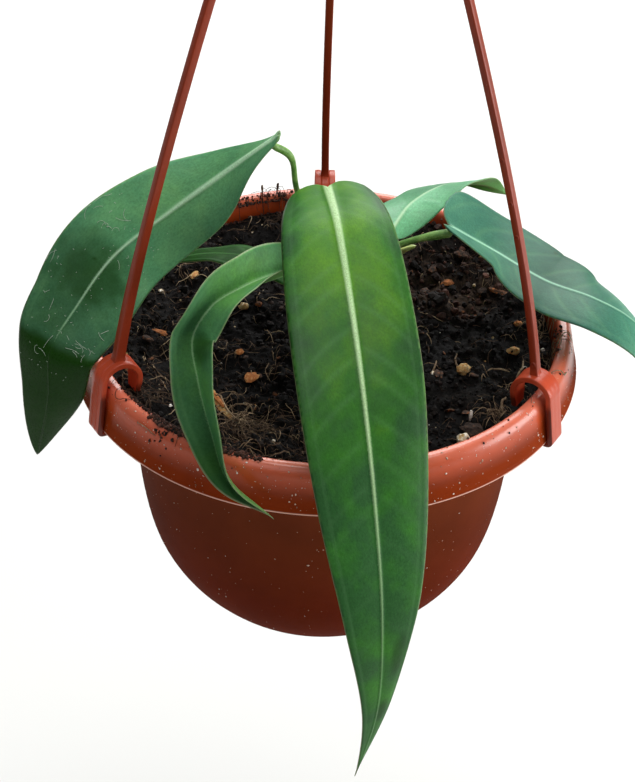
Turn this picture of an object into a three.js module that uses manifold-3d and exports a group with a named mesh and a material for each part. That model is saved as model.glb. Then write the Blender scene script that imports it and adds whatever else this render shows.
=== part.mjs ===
// A strap-leaved anthurium in a round plastic hanging pot, with its potting mix and its one-piece
// three-armed hanger. Millimetres, +Z up. The origin is the point inside the top of the hook that
// bears on a ceiling hook or rail, and the pot's axis runs straight down from there. Everything is
// modelled with height 0 at the rim's top edge, in a group that hangs below the origin.

import * as THREE from "three";
import { mergeVertices } from "three/addons/utils/BufferGeometryUtils.js";
import Module from "manifold-3d";

const wasm = await Module();
wasm.setup();

// Driving dimensions
const rimRadius = 75; // the lower edge of the rim band
const potHeight = 96.5; // foot to the top of the rim
const bandDepth = 14; // how far the rim band hangs down
const wall = 1.6; // the pot's moulded wall
const footRadius = 35.5; // where the bowl meets its flat foot
const rodsMeet = 217; // height over the rim at which the three arms run together
const hookRadius = 10.2; // middle of the hook's bend
const hookWire = 2.2; // half thickness of the hook
const hookRise = 19; // from where the arms meet to the middle of the hook's bend
const gap = 0.3; // clearance between pieces that touch
const bladeThick = 0.8; // a leaf blade beside its rib
const soilLevel = -9.5; // the mix, under the rim's top edge
const crown = { x: 6, y: 9, radius: 6.5, top: -2.5, root: -24 };

const rimBelowHook = rodsMeet + hookRise + hookRadius - hookWire;
const turn = Math.PI * 2;
const { degToRad, lerp, smoothstep, clamp } = THREE.MathUtils;

// Solids and meshes

function solidFrom(geometry) {
  const bare = geometry.clone();
  bare.deleteAttribute("normal");
  bare.deleteAttribute("uv");
  const merged = mergeVertices(bare, 1e-4);
  const vertProperties = new Float32Array(merged.attributes.position.array);
  const triVerts = new Uint32Array(merged.index.array);
  return new wasm.Manifold(new wasm.Mesh({ numProp: 3, vertProperties, triVerts }));
}

function geometryFrom(solid) {
  const { vertProperties, triVerts } = solid.getMesh();
  const geometry = new THREE.BufferGeometry();
  geometry.setAttribute("position", new THREE.Float32BufferAttribute(vertProperties, 3));
  geometry.setIndex(new THREE.BufferAttribute(new Uint32Array(triVerts), 1));
  geometry.computeVertexNormals();
  return geometry;
}

const joined = (solids) => solids.reduce((whole, next) => whole.add(next));

// Turns a closed outline of radius and height into a solid of revolution about Z.
function lathe(outline, segments) {
  const geometry = new THREE.LatheGeometry(
    outline.map(([r, z]) => new THREE.Vector2(r, z)),
    segments,
  );
  return geometry.rotateX(Math.PI / 2);
}

// A closed skin over rings of points with equal counts. Each end is closed from its middle.
function loft(rings) {
  const count = rings[0].length;
  const points = rings.flat();
  const index = [];
  for (let r = 0; r + 1 < rings.length; r++) {
    for (let i = 0; i < count; i++) {
      const a = r * count + i;
      const b = r * count + ((i + 1) % count);
      index.push(a, b, a + count, b, b + count, a + count);
    }
  }
  const closeEnd = (ring, first, order) => {
    points.push(ring.reduce((sum, p) => sum.add(p), new THREE.Vector3()).divideScalar(count));
    for (let i = 0; i < count; i++) {
      const pair = [first + i, first + ((i + 1) % count)];
      index.push(pair[order], pair[1 - order], points.length - 1);
    }
  };
  closeEnd(rings[0], 0, 1);
  closeEnd(rings[rings.length - 1], (rings.length - 1) * count, 0);
  return new THREE.BufferGeometry().setFromPoints(points).setIndex(index);
}

// A round stem along hand-set points, with a radius for each share of its length.
function stem(path, radiusAt, steps, sides) {
  const curve = new THREE.CatmullRomCurve3(path.map((p) => new THREE.Vector3(...p)));
  const { normals, binormals } = curve.computeFrenetFrames(steps, false);
  const rings = normals.map((normal, i) => {
    const centre = curve.getPointAt(i / steps);
    const radius = radiusAt(i / steps);
    return Array.from({ length: sides }, (_, k) => {
      const angle = (turn * k) / sides;
      return centre
        .clone()
        .addScaledVector(normal, radius * Math.cos(angle))
        .addScaledVector(binormals[i], radius * Math.sin(angle));
    });
  });
  return loft(rings);
}

// The pot: a bowl that rounds in to a flat foot, a ledge and short collar above it, and a hollow
// band rolled over the collar, open below. The foot has drain holes.

const bowl = [
  [38.5, -95.6],
  [43.5, -90.5],
  [49.2, -83],
  [54, -72.5],
  [56.9, -56],
  [58.3, -34],
  [59, -25.5],
  [61.5, -19.5],
  [65.8, -14.5],
];
const collar = { radius: 67.8, foot: -11.5 };
const drain = { count: 6, radius: 2.4, circle: 22 };

// The bowl's inside follows its outside, one wall further in and up.
function bowlInside(clear) {
  return bowl.map(([r, z]) => {
    const upright = smoothstep(z, -potHeight, -78) * (1 - 0.6 * smoothstep(z, -26, -15));
    const shift = wall + clear;
    return [r - shift * (0.35 + 0.65 * upright), z + shift * (1 - upright)];
  });
}

function potGeometry() {
  const band = rimRadius - wall;
  const floor = -potHeight + wall;
  const outline = [
    [0, -potHeight],
    [footRadius, -potHeight],
    ...bowl,
    [collar.radius + wall, collar.foot - 1.2],
    [collar.radius + wall, -3],
    [collar.radius + wall + 0.9, -wall],
    [band - 3.2, -wall - 0.2],
    [band - 1.9, -4.2],
    [band + 0.1, -bandDepth],
    [rimRadius + 0.2, -bandDepth],
    [rimRadius + 0.1, -bandDepth + 0.8],
    [rimRadius - 1.9, -4],
    [rimRadius - 2.5, -1.6],
    [rimRadius - 3.5, -0.4],
    [rimRadius - 4.8, 0],
    [collar.radius + 1.2, -0.3],
    [collar.radius + 0.5, -1.2],
    [collar.radius + 0.3, -3],
    [collar.radius, collar.foot],
    ...bowlInside(0).reverse(),
    [footRadius - 2, floor],
    [0, floor],
  ];
  const holes = Array.from({ length: drain.count }, (_, i) => {
    const angle = (turn * (i + 0.5)) / drain.count;
    const hole = new THREE.CylinderGeometry(drain.radius, drain.radius, 4 * wall, 10);
    hole.rotateX(Math.PI / 2);
    hole.translate(drain.circle * Math.cos(angle), drain.circle * Math.sin(angle), floor);
    return solidFrom(hole);
  });
  const shell = solidFrom(lathe(outline, 44));
  return geometryFrom(holes.reduce((rest, hole) => rest.subtract(hole), shell));
}

// The potting mix: a filled bowl shape whose top is uneven, higher against the collar on the front
// left, with bark chips and perlite grains half sunk in it and a plain hole for the plant's crown.

const chips = [
  // x, y, size, height over the mix, turn
  [-30, -28, 6.5, 0.5, 20],
  [-33, -19, 5.5, 0.2, 75],
  [-22, -33, 4.5, 0.6, 130],
  [-18, -15, 4, 0.2, 10],
  [36, -16, 4.5, 0.5, 40],
  [47, 5, 5, 0.3, 110],
  [44, 22, 5.5, 0.4, 160],
  [-14, 45, 6, 0.4, 30],
  [-40, 26, 5.5, 0.3, 95],
  [30, 38, 5, 0.4, 60],
  [14, -44, 4.5, 0.4, 140],
  [41, -38, 4, 0.8, 15],
];

function soilHeight(x, y) {
  const r = Math.hypot(x, y);
  const azimuth = Math.atan2(y, x);
  const lumps =
    0.9 * Math.sin(x / 7.3 + 0.8) * Math.cos(y / 6.1 - 0.4) +
    0.6 * Math.sin((x + y) / 4.1) * Math.cos((x - 1.4 * y) / 5.2) +
    0.35 * Math.sin(x / 2.3 + 1.7 * Math.sin(y / 3.1));
  const toFrontLeft = Math.max(0, Math.cos(azimuth - degToRad(226))) ** 3;
  const toBack = Math.max(0, Math.cos(azimuth - degToRad(110))) ** 3;
  const bank = smoothstep(r, 44, 64) * (4.4 * toFrontLeft + 2.6 * toBack);
  const mound = 2.2 * Math.exp(-(((x - crown.x) / 22) ** 2) - ((y - crown.y) / 22) ** 2);
  return soilLevel + lumps * (1 - 0.5 * smoothstep(r, 55, 66)) + bank + mound;
}

function soilGeometry() {
  const around = 40;
  const inward = 11;
  const top = collar.radius - gap;
  const side = bowlInside(gap).map(([r, z]) => [r, z + gap]);
  side.unshift([footRadius - 2.5, -potHeight + wall + gap]);
  side.push([top - 0.2, collar.foot + 0.8]);
  const rings = side.map(([r, z]) => ringAt(r, () => z, around));
  for (let i = 0; i < inward; i++) {
    rings.push(ringAt(top * (1 - i / inward), soilHeight, around));
  }
  const solid = solidFrom(loft(rings));
  const lumps = chips.map(([x, y, size, up, angle], i) => {
    const chip = new THREE.IcosahedronGeometry(size / 2, 0);
    chip.scale(1, i % 3 ? 0.7 : 0.5, 0.6);
    chip.rotateX(0.3 * Math.sin(i));
    chip.rotateZ(degToRad(angle));
    chip.translate(x, y, soilHeight(x, y) + up);
    return solidFrom(chip);
  });
  const hole = new THREE.CylinderGeometry(crown.radius + gap, crown.radius + gap, 40, 20);
  hole.rotateX(Math.PI / 2);
  hole.translate(crown.x, crown.y, crown.root + 20 - gap);
  return geometryFrom(joined([solid, ...lumps]).subtract(solidFrom(hole)));
}

function ringAt(radius, heightAt, count) {
  return Array.from({ length: count }, (_, k) => {
    const angle = (turn * k) / count;
    const x = radius * Math.cos(angle);
    const y = radius * Math.sin(angle);
    return new THREE.Vector3(x, y, heightAt(x, y));
  });
}

// The hanger, one moulding: three slim arms that run from a hub with an open hook down to a spring
// clip each. A clip is a flat strap bent over the rim: its outer leg lies down the band and its toe
// hooks under the band's edge, and its inner end turns down inside the pot. Reach and bendAt are
// shares of a rod's length: how far its depth tapers, and where it bows outward.

const strap = { width: 6.5, thick: 1.7, toe: 1, bend: 5.6, radius: 68.8 };
const rod = { tangent: 2.4, flare: 0.5, reach: 0.36, bendAt: 0.26 };
const arms = [
  // degrees round from the right, depth at the foot and above, outward bow, sideways sway, and the
  // heights of the clip's bend and of its inner end
  { azimuth: 91.8, foot: 2.6, depth: 2.2, bow: 7.5, sway: 1.5, middle: 0.8, inner: -3.6 },
  { azimuth: 211.6, foot: 3.2, depth: 2.4, bow: 7.6, sway: 0, middle: 1.6, inner: -3.6 },
  { azimuth: 330, foot: 2.3, depth: 2, bow: 10.2, sway: 0, middle: 0.1, inner: -5.6 },
];

// Rounded bar section in the plane of two directions.
function barRing(centre, across, along, width, height) {
  const corner = Math.min(width, height) * 0.28;
  const [w, h] = [width / 2, height / 2];
  const outline = [
    [w, corner - h],
    [w, h - corner],
    [w - corner, h],
    [corner - w, h],
    [-w, h - corner],
    [-w, corner - h],
    [corner - w, -h],
    [w - corner, -h],
  ];
  return outline.map(([a, b]) =>
    centre.clone().addScaledVector(across, a).addScaledVector(along, b),
  );
}

function clipSolid({ middle, inner }) {
  const path = new THREE.CurvePath();
  const flat = (r, z) => new THREE.Vector3(r, 0, z);
  const { bend, radius, thick } = strap;
  const toeZ = -bandDepth - gap - strap.toe / 2;
  const legFoot = flat(rimRadius + 0.2 + gap + thick / 2, -bandDepth + 0.6);
  const toe = flat(rimRadius - 1.6, toeZ);
  path.add(new THREE.LineCurve3(toe, flat(rimRadius - 0.4, toeZ)));
  path.add(
    new THREE.QuadraticBezierCurve3(flat(rimRadius - 0.4, toeZ), flat(legFoot.x, toeZ), legFoot),
  );
  path.add(new THREE.LineCurve3(legFoot, flat(radius + bend, middle)));
  const crest = middle + bend;
  const quarter = 0.5523 * bend;
  path.add(
    new THREE.CubicBezierCurve3(
      flat(radius + bend, middle),
      flat(radius + bend, middle + quarter),
      flat(radius + quarter, crest),
      flat(radius, crest),
    ),
  );
  path.add(
    new THREE.CubicBezierCurve3(
      flat(radius, crest),
      flat(radius - quarter, crest),
      flat(radius - bend, middle + quarter),
      flat(radius - bend, middle),
    ),
  );
  path.add(new THREE.LineCurve3(flat(radius - bend, middle), flat(radius - bend + 0.6, inner)));
  const stops = [0, 1.2, 2.2, 3.1, 4.2, 16, 18.6, 20, 22, 24, 26, 28, 30, 32, 34, 36, 38];
  const length = path.getLength();
  const across = new THREE.Vector3(0, 1, 0);
  const rings = [...stops.filter((s) => s < length - 1), length].map((s) => {
    const tangent = path.getTangentAt(Math.min(s / length, 0.999));
    const outward = new THREE.Vector3().crossVectors(tangent, across);
    const end = smoothstep(s, length - 4, length);
    const width = strap.width * (1 - 0.25 * end);
    const depth = lerp(strap.toe, thick, smoothstep(s, 1.5, 4.2));
    return barRing(path.getPointAt(Math.min(s / length, 1)), across, outward, width, depth);
  });
  return solidFrom(loft(rings));
}

function rodSolid(arm) {
  const foot = new THREE.Vector3(strap.radius - 0.4, 0, arm.middle + strap.bend + 0.4);
  const head = new THREE.Vector3(1.5, 0, rodsMeet - 3);
  const bowed = foot.clone().lerp(head, rod.bendAt).add(new THREE.Vector3(arm.bow, arm.sway, 0));
  const curve = new THREE.QuadraticBezierCurve3(foot, bowed, head);
  const length = curve.getLength();
  const tangent = new THREE.Vector3(0, 1, 0);
  const rings = [0, 0.005, 0.013, 0.03, 0.13, 0.28, rod.reach, 0.6, 0.8, 1].map((share) => {
    const outward = new THREE.Vector3().crossVectors(curve.getTangentAt(share), tangent);
    const flare = rod.flare * Math.exp((-share * length) / 1.8);
    const depth = lerp(arm.foot, arm.depth, clamp(share / rod.reach, 0, 1));
    return barRing(curve.getPointAt(share), tangent, outward, rod.tangent + flare, depth + flare);
  });
  return solidFrom(loft(rings));
}

function hookSolid() {
  const middle = rodsMeet + hookRise;
  const points = [
    [0, rodsMeet - 4],
    [0, rodsMeet + 2],
    [hookRadius * 0.35, rodsMeet + 6.5],
    [hookRadius * 0.85, rodsMeet + 11.5],
  ];
  for (let degrees = -8; degrees <= 190; degrees += 22) {
    const angle = degToRad(degrees);
    points.push([hookRadius * Math.cos(angle), middle + hookRadius * Math.sin(angle)]);
  }
  points.push([-hookRadius - 1.4, middle - 5.5]);
  const path = points.map(([x, z]) => [x, 0, z]);
  const thickness = (share) => hookWire * (share > 0.96 ? 0.75 : 1);
  return solidFrom(stem(path, thickness, 34, 8));
}

function hangerGeometry() {
  const hub = lathe(
    [
      [0, rodsMeet - 16],
      [3.4, rodsMeet - 15],
      [4.6, rodsMeet - 9],
      [4.4, rodsMeet - 3],
      [3, rodsMeet + 1],
      [0, rodsMeet + 2],
    ],
    12,
  );
  const solids = arms.map((arm) => {
    const whole = geometryFrom(clipSolid(arm).add(rodSolid(arm)));
    return solidFrom(whole.rotateZ(degToRad(arm.azimuth)));
  });
  return geometryFrom(joined([...solids, solidFrom(hub), hookSolid()]));
}

// A leaf blade over its rib: hand-set points from the leaf stalk to the tip. The blade is widest at
// a share of its length, rounds back into two lobes beside the stalk, and runs out to a long tip.
// A lean makes the base wider on one side.
// Rows cross the rib, columns run along it, and both faces share one grid of triangles.

const wideGrid = { rows: 26, columns: [-1, -0.8, -0.56, -0.32, -0.12, 0, 0.12, 0.32, 0.56, 0.8, 1] };
const slimGrid = { rows: 20, columns: [-1, -0.72, -0.36, 0, 0.36, 0.72, 1] };

function halfWidth(leaf, share, v) {
  const { wide, widest, taper, base, shoulder, lean } = leaf;
  const side = wide * (1 + lean * Math.sign(v) * Math.max(0, 1 - 2 * share) ** 2);
  if (share < widest) {
    return side * (base + (1 - base) * Math.sin((Math.PI / 2) * (share / widest)) ** shoulder);
  }
  const past = (share - widest) / (1 - widest);
  return side * Math.max(0.012, Math.cos((Math.PI / 2) * past) ** taper);
}

// The rib's curve, with the directions along it, to the blade's side and out of its upper face.
function ribFrame(leaf) {
  const curve = new THREE.CatmullRomCurve3(leaf.rib.map((p) => new THREE.Vector3(...p)));
  curve.arcLengthDivisions = 400;
  const heading = degToRad(leaf.heading);
  const level = new THREE.Vector3(Math.sin(heading), -Math.cos(heading), 0);
  const frameAt = (share) => {
    const place = share * (leaf.roll.length - 1);
    const i = Math.min(Math.floor(place), leaf.roll.length - 2);
    const roll = lerp(leaf.roll[i], leaf.roll[i + 1], smoothstep(place - i, 0, 1));
    const along = curve.getTangentAt(share);
    const side = level.clone().addScaledVector(along, -level.dot(along)).normalize();
    side.applyAxisAngle(along, degToRad(roll));
    const up = new THREE.Vector3().crossVectors(side, along);
    return { middle: curve.getPointAt(share), along, side, up };
  };
  return { length: curve.getLength(), frameAt };
}

function bladeGeometry(leaf) {
  const { length, frameAt } = ribFrame(leaf);
  const { rows, columns } = leaf.grid;
  const faces = [[], []];
  for (let row = 0; row <= rows; row++) {
    const share = (row / rows) ** 1.15;
    for (const v of columns) {
      const half = halfWidth(leaf, share, v);
      const swept = Math.max(0, 1 - share / 0.3) ** 2.2;
      const back = leaf.lobe * swept * Math.sin(Math.PI * Math.abs(v) ** 0.75 * 0.93);
      const at = share - back / length;
      const inside = clamp(at, 0, 1);
      const { middle, along, side, up } = frameAt(inside);
      const c = v * half;
      const fold = lerp(leaf.fold, leaf.foldTip, share);
      const ripple = leaf.wave * Math.sin(turn * (leaf.waves * share + (v > 0 ? 0 : 0.37)));
      const height =
        half * (fold * Math.abs(v) - leaf.droop * v * v) +
        ripple * v * v * Math.sin(Math.PI * share) +
        (at < 0 ? leaf.curl * (at * length) ** 2 : 0);
      middle.addScaledVector(along, (at - inside) * length);
      middle.addScaledVector(side, c).addScaledVector(up, height);
      const slope = Math.sign(v) * (fold - 2 * leaf.droop * Math.abs(v));
      const normal = up.clone().addScaledVector(side, -slope).normalize();
      const keel = leaf.keel * (1 - 0.8 * share) * Math.exp(-((c / 1.5) ** 2));
      faces[0].push(middle.clone().addScaledVector(normal, bladeThick / 2));
      faces[1].push(middle.clone().addScaledVector(normal, -bladeThick / 2 - keel));
    }
  }

  const across = columns.length;
  const count = faces[0].length;
  const index = [];
  for (let row = 0; row < rows; row++) {
    for (let i = 0; i + 1 < across; i++) {
      const a = row * across + i;
      const [b, c, d] = [a + 1, a + across, a + across + 1];
      index.push(a, b, d, a, d, c);
      index.push(count + a, count + d, count + b, count + a, count + c, count + d);
    }
  }
  const rim = [];
  for (let i = 0; i < across; i++) rim.push(i);
  for (let row = 1; row <= rows; row++) rim.push(row * across + across - 1);
  for (let i = across - 2; i >= 0; i--) rim.push(rows * across + i);
  for (let row = rows - 1; row > 0; row--) rim.push(row * across);
  rim.forEach((a, i) => {
    const b = rim[(i + 1) % rim.length];
    index.push(a, count + a, b, b, count + a, count + b);
  });
  return new THREE.BufferGeometry().setFromPoints(faces.flat()).setIndex(index);
}

const plainLeaf = {
  grid: wideGrid,
  wide: 18,
  widest: 0.34,
  base: 0.5,
  shoulder: 0.45,
  taper: 1.25,
  lean: 0,
  lobe: 3,
  curl: 0.02,
  fold: 0.14,
  foldTip: 0.14,
  droop: 0.2,
  wave: 0.5,
  waves: 3,
  keel: 1.1,
};

const leaves = {
  front: {
    rib: [
      [-1, 3, 42],
      [2, -19, 44],
      [6, -42, 35],
      [10, -65, 22],
      [14, -86, 1],
      [17, -102, -25],
      [17, -106, -55],
      [12, -106, -83],
    ],
    heading: -80,
    roll: [6, -8, -11, -30],
    root: [6, 4.8],
    stalk: [
      [6.2, 6.5, 14],
      [3.4, 6.5, 32],
    ],
    stalkRadius: 1.7,
  },
  left: {
    rib: [
      [-16.5, -6, 62.5],
      [-31, -2.5, 48.5],
      [-46.5, -7, 38],
      [-61, -15, 28.5],
      [-70.5, -26, 18.5],
      [-77, -34.5, 9.5],
      [-78.5, -36, -6],
      [-84, -31.5, -31.5],
    ],
    heading: 202,
    roll: [13, -69, -42, -75],
    wide: 15.2,
    widest: 0.43,
    base: 0.15,
    shoulder: 0.99,
    taper: 0.76,
    lean: -0.07,
    lobe: 3.4,
    curl: 0.08,
    fold: 0.1,
    foldTip: -0.09,
    droop: 0.22,
    root: [2, 10],
    stalk: [
      [-4, 6, 19],
      [-10, 5.6, 40],
      [-11.8, 0, 54],
    ],
    stalkRadius: 0.95,
  },
  curled: {
    rib: [
      [-3, -17, 30],
      [-14, -27.5, 32.5],
      [-23.5, -37.5, 34.5],
      [-31.5, -45.5, 33.5],
      [-36, -50, 26.5],
      [-34, -58, 18],
      [-30, -66, 7],
      [-25, -72.5, -4.5],
      [-12.5, -78.5, -12.5],
    ],
    grid: slimGrid,
    heading: -110,
    roll: [12, -30, -5, 5],
    wide: 5.9,
    widest: 0.56,
    base: 0.26,
    shoulder: 0.65,
    taper: 1.41,
    lean: 0.8,
    lobe: 2.8,
    fold: 0.86,
    foldTip: 1.38,
    droop: -0.38,
    wave: 0.3,
    root: [2.6, 6.4],
    stalk: [
      [1, 2, 8],
      [-1, -6, 20],
    ],
    stalkRadius: 1.4,
  },
  right: {
    rib: [
      [35, 3, 30],
      [48.5, 4.5, 21],
      [63.5, -2.5, 16],
      [77, -7.5, 14],
      [89, -8, 7],
      [102, -8, -9.5],
      [116.5, -10, -30.5],
    ],
    heading: -10,
    roll: [-6, -2, -10, -4],
    wide: 16.5,
    widest: 0.27,
    base: 0.4,
    taper: 0.94,
    lean: -0.47,
    lobe: 3.5,
    fold: 0.38,
    foldTip: -0.41,
    droop: 0.14,
    wave: 0.3,
    root: [10, 7],
    stalk: [
      [11, 7.6, 8],
      [14, 6, 17.3],
      [24, 4, 24.6],
    ],
    stalkRadius: 1.15,
  },
  back: {
    rib: [
      [18.5, 14, 22],
      [24, 25.5, 23.5],
      [34.5, 36, 24],
      [47, 42, 21.5],
      [55.5, 47, 14.5],
    ],
    grid: slimGrid,
    heading: 50,
    roll: [29, -11, -30, -78],
    wide: 8.9,
    base: 0.46,
    shoulder: 0.66,
    taper: 1.13,
    lean: -0.18,
    lobe: 2.3,
    fold: -0.19,
    foldTip: 0.3,
    droop: 0.17,
    wave: 0.2,
    root: [7.6, 13.2],
    stalk: [
      [9.6, 13.2, 6],
      [13, 12, 15],
    ],
    stalkRadius: 1.5,
  },
  low: {
    rib: [
      [-8, 9, 5],
      [-20, 11, 11],
      [-34, 11, 13],
      [-45, 9, 12],
      [-52, 7, 9],
    ],
    grid: slimGrid,
    heading: 180,
    roll: [0, 10],
    wide: 7,
    lobe: 4,
    root: [3.6, 13],
    stalk: [
      [1, 12.3, 2.4],
      [-3, 11, 4],
    ],
    stalkRadius: 1.2,
  },
};

// A whole leaf. Its stalk stands on the crown, swells under the blade and runs into the rib's keel.
function leafGeometry(leaf) {
  const { middle, along, up } = ribFrame(leaf).frameAt(0);
  const joint = middle.addScaledVector(along, 1.2).addScaledVector(up, -0.9);
  const [x, y] = leaf.root;
  const path = [[x, y, crown.top + gap], [x, y, crown.top + 2], ...leaf.stalk, joint.toArray()];
  const radiusAt = (s) => leaf.stalkRadius * (1 - 0.15 * s + 0.3 * smoothstep(s, 0.8, 0.93));
  const stalk = solidFrom(stem(path, radiusAt, 12, 7));
  return geometryFrom(solidFrom(bladeGeometry(leaf)).add(stalk));
}

// The papery tip that once wrapped the right-hand stalk stands free beside it.
const sheath = [
  [10.4, 10.6, crown.top + gap],
  [10.6, 10.6, crown.top + 2],
  [14, 10, 7],
  [18, 9, 14],
  [21, 8, 20],
];
const sheathGeometry = () => stem(sheath, (s) => 1.2 + 0.6 * s - 1.5 * s ** 3, 8, 7);

function crownGeometry() {
  const { radius, top, root } = crown;
  const outline = [
    [0, root],
    [2.5, root + 1.5],
    [4.5, root + 7],
    [radius - 0.8, -14],
    [radius - 0.2, -9],
    [radius - 0.9, -8],
    [radius - 0.3, -5.5],
    [radius - 0.8, top],
    [0, top],
  ];
  return lathe(outline, 16).translate(crown.x, crown.y, 0);
}

const plastic = { color: 0xa8492c, roughness: 0.45 };
const looks = {
  mix: { color: 0x1c1613, roughness: 0.95 },
  green: { color: 0x3d7434, roughness: 0.4 },
  blueGreen: { color: 0x2f6a48, roughness: 0.4 },
  stalk: { color: 0x7f9f58, roughness: 0.5 },
  bark: { color: 0x6a5236, roughness: 0.8 },
};

const plantInPot = new THREE.Group();
plantInPot.position.z = -rimBelowHook;

function addPiece(name, geometry, look) {
  geometry.computeVertexNormals();
  const mesh = new THREE.Mesh(geometry, new THREE.MeshStandardMaterial({ metalness: 0, ...look }));
  mesh.name = name;
  plantInPot.add(mesh);
}

addPiece("pot", potGeometry(), plastic);
addPiece("hanger", hangerGeometry(), plastic);
addPiece("potting_mix", soilGeometry(), looks.mix);
addPiece("crown", crownGeometry(), looks.bark);
addPiece("sheath", sheathGeometry(), looks.stalk);
for (const [place, leaf] of Object.entries(leaves)) {
  const look = place === "front" ? looks.green : looks.blueGreen;
  addPiece(`leaf_${place}`, leafGeometry({ ...plainLeaf, ...leaf }), look);
}

export default plantInPot;
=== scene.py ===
import math
import bmesh
import bpy
import numpy as np
from mathutils import Matrix, Vector


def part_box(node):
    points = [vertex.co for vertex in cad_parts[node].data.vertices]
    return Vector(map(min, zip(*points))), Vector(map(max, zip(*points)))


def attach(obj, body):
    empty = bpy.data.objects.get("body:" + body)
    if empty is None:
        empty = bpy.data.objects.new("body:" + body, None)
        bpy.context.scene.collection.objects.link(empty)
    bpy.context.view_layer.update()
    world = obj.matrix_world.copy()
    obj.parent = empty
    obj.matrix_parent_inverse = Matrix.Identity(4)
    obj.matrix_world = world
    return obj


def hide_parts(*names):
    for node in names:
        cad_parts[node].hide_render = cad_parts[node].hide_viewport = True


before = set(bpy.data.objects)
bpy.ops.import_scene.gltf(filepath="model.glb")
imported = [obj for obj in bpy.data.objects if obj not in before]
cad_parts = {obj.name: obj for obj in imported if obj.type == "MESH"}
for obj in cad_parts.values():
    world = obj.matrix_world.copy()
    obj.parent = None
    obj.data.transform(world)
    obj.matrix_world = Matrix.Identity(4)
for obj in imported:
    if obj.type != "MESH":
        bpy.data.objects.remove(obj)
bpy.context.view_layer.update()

# A strap-leaved anthurium in a moulded hanging pot. Lengths are in millimetres and points are
# measured from the middle of the rim's top edge, unless a name says otherwise.
mm = 0.001
rimTop = float(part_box("pot")[1][2])  # metres
print("frame loaded, rim top at", round(rimTop, 4))


# Shapes as arrays

def unit(v):
    # Vectors divided by their lengths
    return v / np.maximum(np.linalg.norm(v, axis=-1, keepdims=True), 1e-12)


def fade(x, low, high):
    # Smooth step: 0 below low, 1 above high, and 3t^2 - 2t^3 between
    t = np.clip((x - low) / (high - low), 0, 1)
    return t * t * (3 - 2 * t)


def valueNoise(x, y, cell, seed):
    # Value noise from -1 to 1: random heights on a square lattice, blended smoothly between corners
    size = 128
    table = np.random.default_rng(seed).uniform(-1, 1, (size, size))
    u, v = x / cell, y / cell
    i, j = np.floor(u).astype(int), np.floor(v).astype(int)
    fu, fv = fade(u - i, 0, 1), fade(v - j, 0, 1)
    corner = lambda a, b: table[(i + a) % size, (j + b) % size]
    low = corner(0, 0) * (1 - fu) + corner(1, 0) * fu
    high = corner(0, 1) * (1 - fu) + corner(1, 1) * fu
    return low * (1 - fv) + high * fv


def smoothCurve(points, steps=32):
    # A smooth curve through points: cubic stretches whose end slopes come from the neighbouring
    # gaps, weighed by the square roots of their lengths, with the end points mirrored outward
    p = np.asarray(points, float)
    q = np.vstack([2 * p[0] - p[1], p, 2 * p[-1] - p[-2]])
    a, b, c, d = q[:-3], q[1:-2], q[2:-1], q[3:]
    g0, g1, g2 = (np.sqrt(np.linalg.norm(v, axis=1))[:, None] for v in (b - a, c - b, d - c))
    m1 = ((b - a) / g0 - (c - a) / (g0 + g1) + (c - b) / g1) * g1
    m2 = ((c - b) / g1 - (d - b) / (g1 + g2) + (d - c) / g2) * g1
    t = np.linspace(0, 1, steps, endpoint=False)[None, :, None]
    b, c, m1, m2 = (v[:, None] for v in (b, c, m1, m2))
    curve = b + m1 * t + (3 * (c - b) - 2 * m1 - m2) * t**2 + (2 * (b - c) + m1 + m2) * t**3
    return np.vstack([curve.reshape(-1, p.shape[1]), p[-1:]])


def runLength(points):
    # The distance along a polyline to each of its points
    return np.concatenate([[0], np.cumsum(np.linalg.norm(np.diff(points, axis=0), axis=1))])


def alongCurve(curve, shares):
    # Points and unit directions at shares of a polyline's length, and that length. A direction
    # beside a doubled point comes out as not a number
    run = runLength(curve)
    with np.errstate(divide="ignore", invalid="ignore"):
        slope = np.gradient(curve, run, axis=0)
    at = np.clip(shares, 0, 1) * run[-1]
    pick = lambda values: np.stack([np.interp(at, run, column) for column in values.T], -1)
    return pick(curve), unit(pick(slope)), run[-1]


def bend(start, corner, end, t):
    # A quadratic curve: start (1 - t)^2 + 2 corner t (1 - t) + end t^2
    return start * (1 - t) ** 2 + 2 * corner * t * (1 - t) + end * t**2


def roundedOutline(corners, steps=6):
    # A polyline whose corners are quadratic curves. Each starts and ends at the third number's
    # distance from its corner, or halfway along a shorter side
    p = np.array([[r, z] for r, z, _ in corners], float)
    cut = np.array([c for *_, c in corners], float)[1:-1, None]
    before, after = p[:-2] - p[1:-1], p[2:] - p[1:-1]
    cutIn = np.minimum(cut, 0.5 * np.linalg.norm(before, axis=1, keepdims=True))
    cutOut = np.minimum(cut, 0.5 * np.linalg.norm(after, axis=1, keepdims=True))
    start = (p[1:-1] + unit(before) * cutIn)[:, None]
    end = (p[1:-1] + unit(after) * cutOut)[:, None]
    t = np.linspace(0, 1, steps)[None, :, None]
    arcs = bend(start, p[1:-1, None], end, t)
    return np.vstack([p[:1], arcs.reshape(-1, 2), p[-1:]])


def gridFaces(rows, columns, wrap=False):
    # Quads of a grid of points, joining the last column to the first where it wraps
    i, j = np.meshgrid(np.arange(rows - 1), np.arange(columns - (not wrap)), indexing="ij")
    a, b = i * columns + j, i * columns + (j + 1) % columns
    return np.stack([a, b, b + columns, a + columns], -1).reshape(-1, 4)


def wrapped(grid):
    # A grid whose rows close on themselves, as one part of a piece: its points and its faces
    return grid, gridFaces(*grid.shape[:2], wrap=True)


def turned(outline, around):
    # A profile of radius and height carried round the vertical axis
    angle = np.linspace(0, 2 * np.pi, around, endpoint=False)
    r, z = outline[:, :1], outline[:, 1:]
    return np.stack([r * np.cos(angle), r * np.sin(angle), z + 0 * angle], -1)


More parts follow.
